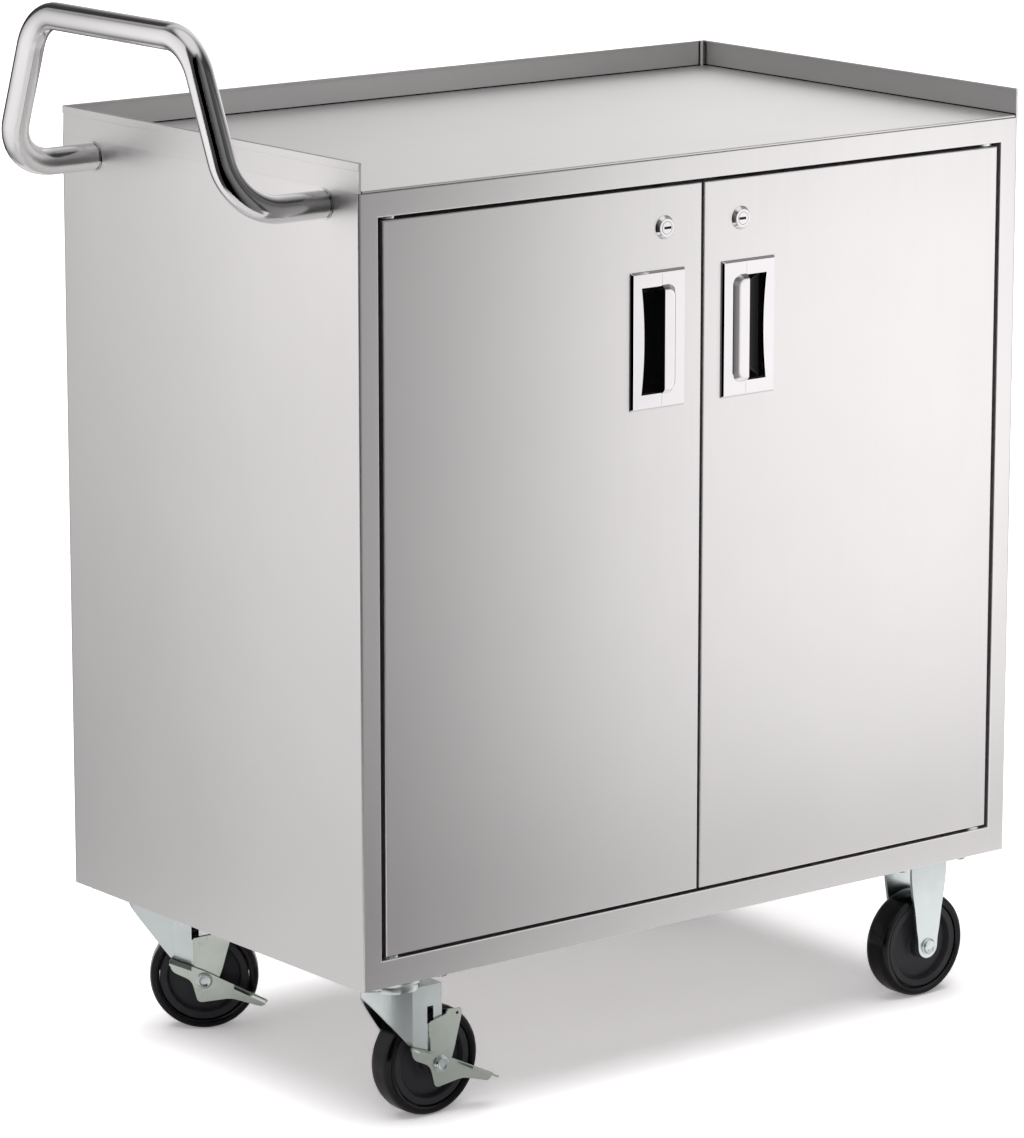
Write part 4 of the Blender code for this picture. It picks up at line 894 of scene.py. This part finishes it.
def build_bolts():
    """The sixteen caster bolts: heads below the plates, nuts above the channels."""
    heads = [(x + dx, y + dy, PLATE_BOTTOM - 0.1) for x in (CASTER_X, WIDTH - CASTER_X)
             for y in (CASTER_Y, DEPTH - CASTER_Y) for dx, dy in BOLT_SPOTS]
    sizes = {
        "Head radius": 0.0065, "Head height": 0.0046, "Head level": -0.0035,
        "Dome radius": 0.0052, "Dome height": 0.0006, "Dome level": -0.0064,
        "Washer radius": 0.0075, "Washer height": 0.0012, "Washer level": -0.0006,
        "Shank radius": 0.004, "Shank length": 0.0135, "Shank level": 0.00675,
        "Nut height": 0.005, "Nut level": 0.0084, "Seed": 3,
    }
    hold(run_nodes("caster_bolts", heads, [], scatter_bolts, sizes, 35), "cart")


# Casters


def caster_place(x, y, turn=0):
    """The frame of one caster: its own middle below the cabinet, turned about the upright."""
    return CABINET @ Matrix.Translation((x, y, 0)) @ Matrix.Rotation(turn, 4, "Z")


def round_corners(outline, radii, steps=4):
    """An outline with each corner cut back and bent round, as a quadratic curve."""
    points = []
    for index, corner in enumerate(outline):
        corner = Vector(corner)
        before = Vector(outline[index - 1]) - corner
        after = Vector(outline[(index + 1) % len(outline)]) - corner
        reach = min(radii[index], before.length * 0.45, after.length * 0.45)
        first, last = corner + before.normalized() * reach, corner + after.normalized() * reach
        for step in range(steps + 1):
            share = step / steps
            point = first * (1 - share) ** 2 + corner * 2 * share * (1 - share) + last * share ** 2
            points.append(tuple(point))
    return points


def build_mount_plate(race=True):
    """A mounting plate with round corners and its bolt holes, and the swivel's upper race."""
    solid = prism(rounded_rectangle(*MOUNT_PLATE), "Z", PLATE_BOTTOM, -0.3)
    holes = [drill(BOLT_HOLE, -5, 2, "Z", (*spot, 0), 24) for spot in BOLT_SPOTS]
    if not race:
        return solid, [], holes
    holes.append(turned(KINGPIN_SEAT, "Z", sides=48))
    return solid, [turned(UPPER_RACE, "Z", sides=72, hollow=True)], holes


def horn_plan(inset):
    """The yoke's plan: a long round front that runs into two parallel arms."""
    half = ARM_OUTER - inset
    plan = []
    for step in range(HORN_STEPS + 1):
        angle = math.pi / 2 + math.pi * step / HORN_STEPS
        x = HORN_CREASE - (HORN_CREASE + HORN_FRONT - inset) * abs(math.cos(angle)) ** HORN_LENGTH_POWER
        plan.append((x, half * math.copysign(abs(math.sin(angle)) ** HORN_WIDTH_POWER, math.sin(angle))))
    return plan + [(HORN_END + inset, -half), (HORN_END + inset, half)]


def build_yoke():
    """The pressed yoke: a crown, and a skirt that runs round the front into the two arms."""
    outline = [*HORN_NOSE, *arc((TRAIL, -AXLE_DROP), AXLE_END, 196, 360, 14), *HORN_REAR]
    solid = prism(outline, "Y", -ARM_OUTER, ARM_OUTER)
    keep = prism(horn_plan(0), "Z", -120, -10)
    race = turned(LOWER_RACE, "Z", sides=72, hollow=True)
    cutters = (prism(horn_plan(3), "Z", -130, -20), drill(BORE, -25, -10, "Z"),
               drill(AXLE_HOLE, -30, 30, "Y", (TRAIL, 0, -AXLE_DROP)), block(*HORN_SLOT))
    return solid, keep, race, cutters


def build_swivel(name, x, y, turn):
    """One braked swivel caster, all but its wheel."""
    place = caster_place(x, y, turn)
    solid, adders, holes = build_mount_plate()
    finish_piece(f"{name}_mounting", solid, zinc, "cart", (f"{name}_caster_plate",),
                 caster_place(x, y), rounding=0.4, adders=adders, cutters=holes)
    body = f"{name}_swivel"
    solid, keep, race, cutters = build_yoke()
    finish_piece(f"{name}_horn", solid, zinc, body, (f"{name}_yoke",), place, rounding=0.9,
                 steps=3, keepers=(keep,), adders=(race,), cutters=cutters, angle=55)
    build_axle_bolt(name, place, body, TRAIL, LEVER_OUTER + 0.2)
    build_brake(name, place, body)


def build_axle_bolt(name, place, body, x, face):
    """A bolt head with a washer and a dished middle, and a hexagon nut on the other arm."""
    profile = [(AXLE_HEAD[0][0], ARM_OUTER + 4)] + [(radius, -face - out) for radius, out in AXLE_HEAD]
    solid = turned(profile, "Y", (x, 0, -AXLE_DROP))
    nut = arc((x, -AXLE_DROP), NUT_RADIUS, 0, 300, 5)
    prism(nut, "Y", ARM_OUTER + 0.3, ARM_OUTER + 3.9, solid)
    finish_piece(f"{name}_axle_bolt", solid, zinc, body, (f"{name}_axle",), place, rounding=0.3)


def about_axle(shares, size):
    """Points in shares of a size, laid about a swivel caster's axle."""
    return [Vector((TRAIL + px * size, pz * size - AXLE_DROP)) for px, pz in shares]


def build_brake(name, place, body):
    """The fixed brake plate with its notch and eared corner, and the foot lever."""
    outline = round_corners(about_axle(BRAKE_SHARES, BRAKE_HEIGHT), BRAKE_ROUNDS)
    holes = []
    for spot, radius in zip(about_axle(((0, 0), EAR_HOLE), BRAKE_HEIGHT), (AXLE_HOLE, EAR_HOLE_RADIUS)):
        holes.append(drill(radius, -40, -10, "Y", (spot.x, 0, spot.y), 24))
    plate = prism(outline, "Y", -BRAKE_OUTER, -BRAKE_FACE)
    finish_piece(f"{name}_brake_sheet", plate, yellow_zinc, body, (f"{name}_brake_plate",),
                 place, rounding=0.35, cutters=holes)
    outline = round_corners(about_axle(LEVER_SHARES, LEVER_REACH), LEVER_ROUNDS)
    flanges = []
    for shares in FLANGE_SHARES:
        first, last = about_axle(shares, LEVER_REACH)
        across = (last - first).normalized()
        down = Vector((across.y, -across.x)) * 2
        section = (first, last, last + down, first + down)
        flanges.append(prism(section, "Y", -LEVER_OUTER - FLANGE_WIDTH, -LEVER_FACE - 0.6))
    hole = drill(AXLE_HOLE, -40, -10, "Y", (TRAIL, 0, -AXLE_DROP))
    lever = prism(outline, "Y", -LEVER_OUTER, -LEVER_FACE)
    finish_piece(f"{name}_brake_pedal", lever, yellow_zinc, f"{name}_brake",
                 (f"{name}_brake_lever",), place, rounding=0.5, adders=flanges, cutters=(hole,))


def build_fork(name, x, y):
    """A rigid fork: a mounting plate with two straight pressed arms."""
    place = caster_place(x, y)
    solid, _, holes = build_mount_plate(race=False)
    left = [(-FORK_HALF, -1.6), (-FORK_HALF, WAIST_TOP)]
    for step in range(1, WAIST_STEPS + 1):
        share = step / WAIST_STEPS
        left.append((-FORK_HALF + WAIST_INWARD * share ** WAIST_POWER, WAIST_TOP - WAIST_DROP * share))
    left += [(-14.5, -74), (-12.6, -84)]
    right = [(-px, pz) for px, pz in reversed(left)]
    outline = left + arc((0, -AXLE_DROP), AXLE_END, 180, 360, 14) + right
    arms = [prism(outline, "Y", sign * ARM_INNER, sign * ARM_OUTER) for sign in (-1, 1)]
    axle = drill(AXLE_HOLE, -30, 30, "Y", (0, 0, -AXLE_DROP))
    finish_piece(f"{name}_horn", solid, zinc, "cart", (f"{name}_fork",), place, rounding=0.7,
                 steps=3, adders=arms, cutters=(*holes, axle))
    build_axle_bolt(name, place, "cart", 0, ARM_OUTER + 0.3)


def build_wheel(name, place, x):
    """A round rubber tread on a nylon core with a stepped face."""
    for piece, node, side, crown, sides, look, slot, angle in (
            ("tyre", "wheel_tread", TREAD_SIDE, (TREAD_CROWN,), 160, rubber, "tread_rubber", 60),
            ("hub", "wheel_core", CORE_SIDE, (), 128, core_plastic, "grey_plastic", 40)):
        profile = [(radius, -level) for radius, level in side] + [*crown, *reversed(side)]
        solid = turned(profile, "Y", (x, 0, -AXLE_DROP), sides, hollow=True)
        finish_piece(f"{name}_{piece}", solid, look, f"{name}_wheel", (f"{name}_{node}",),
                     place, angle=angle)


build_wrap()
build_worktop()
build_seam_shade()
build_bushes()
for side in ("left", "right"):
    build_door(side)
    build_casting(side)
    build_well(side)
    build_lock(side)
build_handle()
build_bolts()
for name, y, turn in (("front_left", CASTER_Y, 0), ("back_left", DEPTH - CASTER_Y, BACK_LEFT_TURN)):
    build_swivel(name, CASTER_X, y, turn)
    build_wheel(name, caster_place(CASTER_X, y, turn), TRAIL)
for name, y in (("front_right", CASTER_Y), ("back_right", DEPTH - CASTER_Y)):
    build_fork(name, WIDTH - CASTER_X, y)
    build_wheel(name, caster_place(WIDTH - CASTER_X, y), 0)


# Stage: floor, world, lamps, cards and camera


def stage_plane(name, corner, across, up, material):
    """A flat stage rectangle from one corner and its two edges, with its own UVs."""
    corner, across, up = Vector(corner), Vector(across), Vector(up)
    mesh = bpy.data.meshes.new(name)
    points = [corner, corner + across, corner + across + up, corner + up]
    mesh.from_pydata(points, [], [(0, 1, 2, 3)])
    layer = mesh.uv_layers.new(name="card")
    for loop, place in zip(layer.data, ((0, 0), (1, 0), (1, 1), (0, 1))):
        loop.uv = place
    mesh.materials.append(material)
    plane = add_object(name, mesh)
    return plane


def build_floor():
    """A pale floor that clips to white in view and keeps the cart's soft shadow."""
    material, tree = new_material("white studio floor")
    matte = add_node(tree, "ShaderNodeBsdfDiffuse", {"Color": linear("e8e6e6")})
    shade = [FLOOR_SHADE * tint for tint in FLOOR_TINT]
    bright = add_node(tree, "ShaderNodeBsdfDiffuse", {"Color": (*shade, 1)})
    glow = add_node(tree, "ShaderNodeEmission", {"Color": linear("fff9fb"), "Strength": FLOOR_GLOW})
    faint = add_node(tree, "ShaderNodeEmission", {"Color": linear("fffbfc"), "Strength": SHADOW_GLOW})
    dark = add_node(tree, "ShaderNodeEmission", {"Color": linear("ffffff"), "Strength": FAR_GLOW})
    lifted = add_node(tree, "ShaderNodeAddShader", {0: matte, 1: glow})
    viewed = add_node(tree, "ShaderNodeAddShader", {0: bright, 1: faint})
    spot = add_node(tree, "ShaderNodeTexCoord").outputs["Object"]
    reach = add_node(tree, "ShaderNodeVectorMath", {0: spot, 1: MAT_MIDDLE}, operation="DISTANCE")
    away = add_node(tree, "ShaderNodeMapRange", {
        "Value": reach.outputs["Value"], "From Min": MAT_NEAR, "From Max": MAT_FAR,
    }, interpolation_type="SMOOTHSTEP")
    path = add_node(tree, "ShaderNodeLightPath")
    mirrored = add_node(tree, "ShaderNodeMixShader", {0: away, 1: lifted, 2: dark})
    glossy = add_node(tree, "ShaderNodeMixShader", {
        0: path.outputs["Is Glossy Ray"], 1: matte, 2: mirrored,
    })
    chosen = add_node(tree, "ShaderNodeMixShader", {0: path.outputs["Is Camera Ray"], 1: glossy, 2: viewed})
    add_node(tree, "ShaderNodeOutputMaterial", {"Surface": chosen})
    stage_plane("studio_floor", (-30, -30, 0), (60, 0, 0), (0, 60, 0), material)


def build_card(name, corner, across, up, along, rise):
    """A glowing card that only mirrors see. Its tone follows one curve along it and another
    from foot to head."""
    material, tree = new_material(name)
    place = add_node(tree, "ShaderNodeUVMap", uv_map="card")
    parts = add_node(tree, "ShaderNodeSeparateXYZ", {"Vector": place})
    tones = []
    for way, stops in (("X", along), ("Y", rise)):
        tone = add_node(tree, "ShaderNodeFloatCurve", {"Value": parts.outputs[way]})
        curve = tone.mapping.curves[0]
        curve.points[0].location = stops[0]
        curve.points[1].location = stops[-1]
        for stop in stops[1:-1]:
            curve.points.new(*stop)
        tone.mapping.update()
        tones.append(tone)
    level = add_node(tree, "ShaderNodeMath", {0: tones[0], 1: tones[1]}, operation="MULTIPLY")
    lift = add_node(tree, "ShaderNodeMath", {0: level, 1: CARD_GAIN}, operation="MULTIPLY")
    glow = add_node(tree, "ShaderNodeEmission", {"Color": linear("fffcfd"), "Strength": lift})
    add_node(tree, "ShaderNodeOutputMaterial", {"Surface": glow})
    card = stage_plane(name, corner, across, up, material)
    card.visible_camera = False
    card.visible_diffuse = False
    card.visible_shadow = False
    card.visible_transmission = False


def build_world():
    """White in view, a plain soft dome for matte surfaces, and for mirrors a bright room
    that darkens towards the viewer, below a soft ceiling light."""
    world = bpy.data.worlds.new("studio")
    world.use_nodes = True
    bpy.context.scene.world = world
    tree = world.node_tree
    tree.nodes.clear()
    path = add_node(tree, "ShaderNodeLightPath")
    way = add_node(tree, "ShaderNodeTexCoord").outputs["Generated"]
    toward = add_node(tree, "ShaderNodeVectorMath", {0: way, 1: VIEW_WAY}, operation="DOT_PRODUCT")
    level = add_node(tree, "ShaderNodeMapRange", {
        "Value": toward.outputs["Value"], "From Min": ROOM_EDGE, "From Max": 1.0,
        "To Min": ROOM_NEAR, "To Max": ROOM_FAR,
    }, interpolation_type="SMOOTHSTEP")
    parts = add_node(tree, "ShaderNodeSeparateXYZ", {"Vector": way})
    ceiling = add_node(tree, "ShaderNodeMapRange", {
        "Value": parts.outputs["Z"], "From Min": CEILING_EDGE, "From Max": CEILING_CORE,
        "To Min": 0, "To Max": CEILING,
    }, interpolation_type="SMOOTHSTEP")
    brighter = add_node(tree, "ShaderNodeMath", {
        0: level, 1: ceiling,
    }, operation="MAXIMUM")
    white = add_node(tree, "ShaderNodeBackground", {"Color": linear("ffffff"), "Strength": 1.0})
    dome = add_node(tree, "ShaderNodeBackground", {"Color": linear("ffffff"), "Strength": DOME})
    room = add_node(tree, "ShaderNodeBackground", {"Color": linear("fffdfd"), "Strength": brighter})
    lit = add_node(tree, "ShaderNodeMixShader", {0: path.outputs["Is Glossy Ray"], 1: dome, 2: room})
    chosen = add_node(tree, "ShaderNodeMixShader", {0: path.outputs["Is Camera Ray"], 1: lit, 2: white})
    add_node(tree, "ShaderNodeOutputWorld", {"Surface": chosen})


def build_lamps():
    """A wide sun above that lights the floor evenly and that mirrors don't see, and a weak
    square soft box beside the camera."""
    sun = bpy.data.lights.new("overhead", "SUN")
    sun.energy = SUN_STRENGTH
    sun.angle = math.radians(SUN_SPREAD)
    holder = add_object("overhead", sun)
    holder.rotation_euler = Euler((0, math.radians(SUN_LEAN), 0))
    holder.visible_glossy = False
    box = bpy.data.lights.new("fill soft box", "AREA")
    box.size = BOX_SIZE
    box.energy = BOX_WATTS
    holder = add_object("fill soft box", box)
    holder.location = BOX_PLACE
    holder.rotation_euler = (Vector(BOX_AIM) - Vector(BOX_PLACE)).to_track_quat("-Z", "Y").to_euler()


def build_camera():
    """The photograph's own viewpoint, from the left front and a little above."""
    lens = bpy.data.cameras.new("photo_view")
    lens.lens = LENS
    lens.clip_end = 60
    holder = add_object("photo_view", lens)
    holder.location = CAMERA_PLACE
    holder.rotation_euler = Euler((math.radians(90 - CAMERA_DOWN), 0, math.radians(CAMERA_TURN)))
    bpy.context.scene.camera = holder


build_floor()
build_world()
for card in CARDS:
    build_card(*card)
build_lamps()
build_camera()
bpy.context.scene.view_settings.view_transform = "Standard"
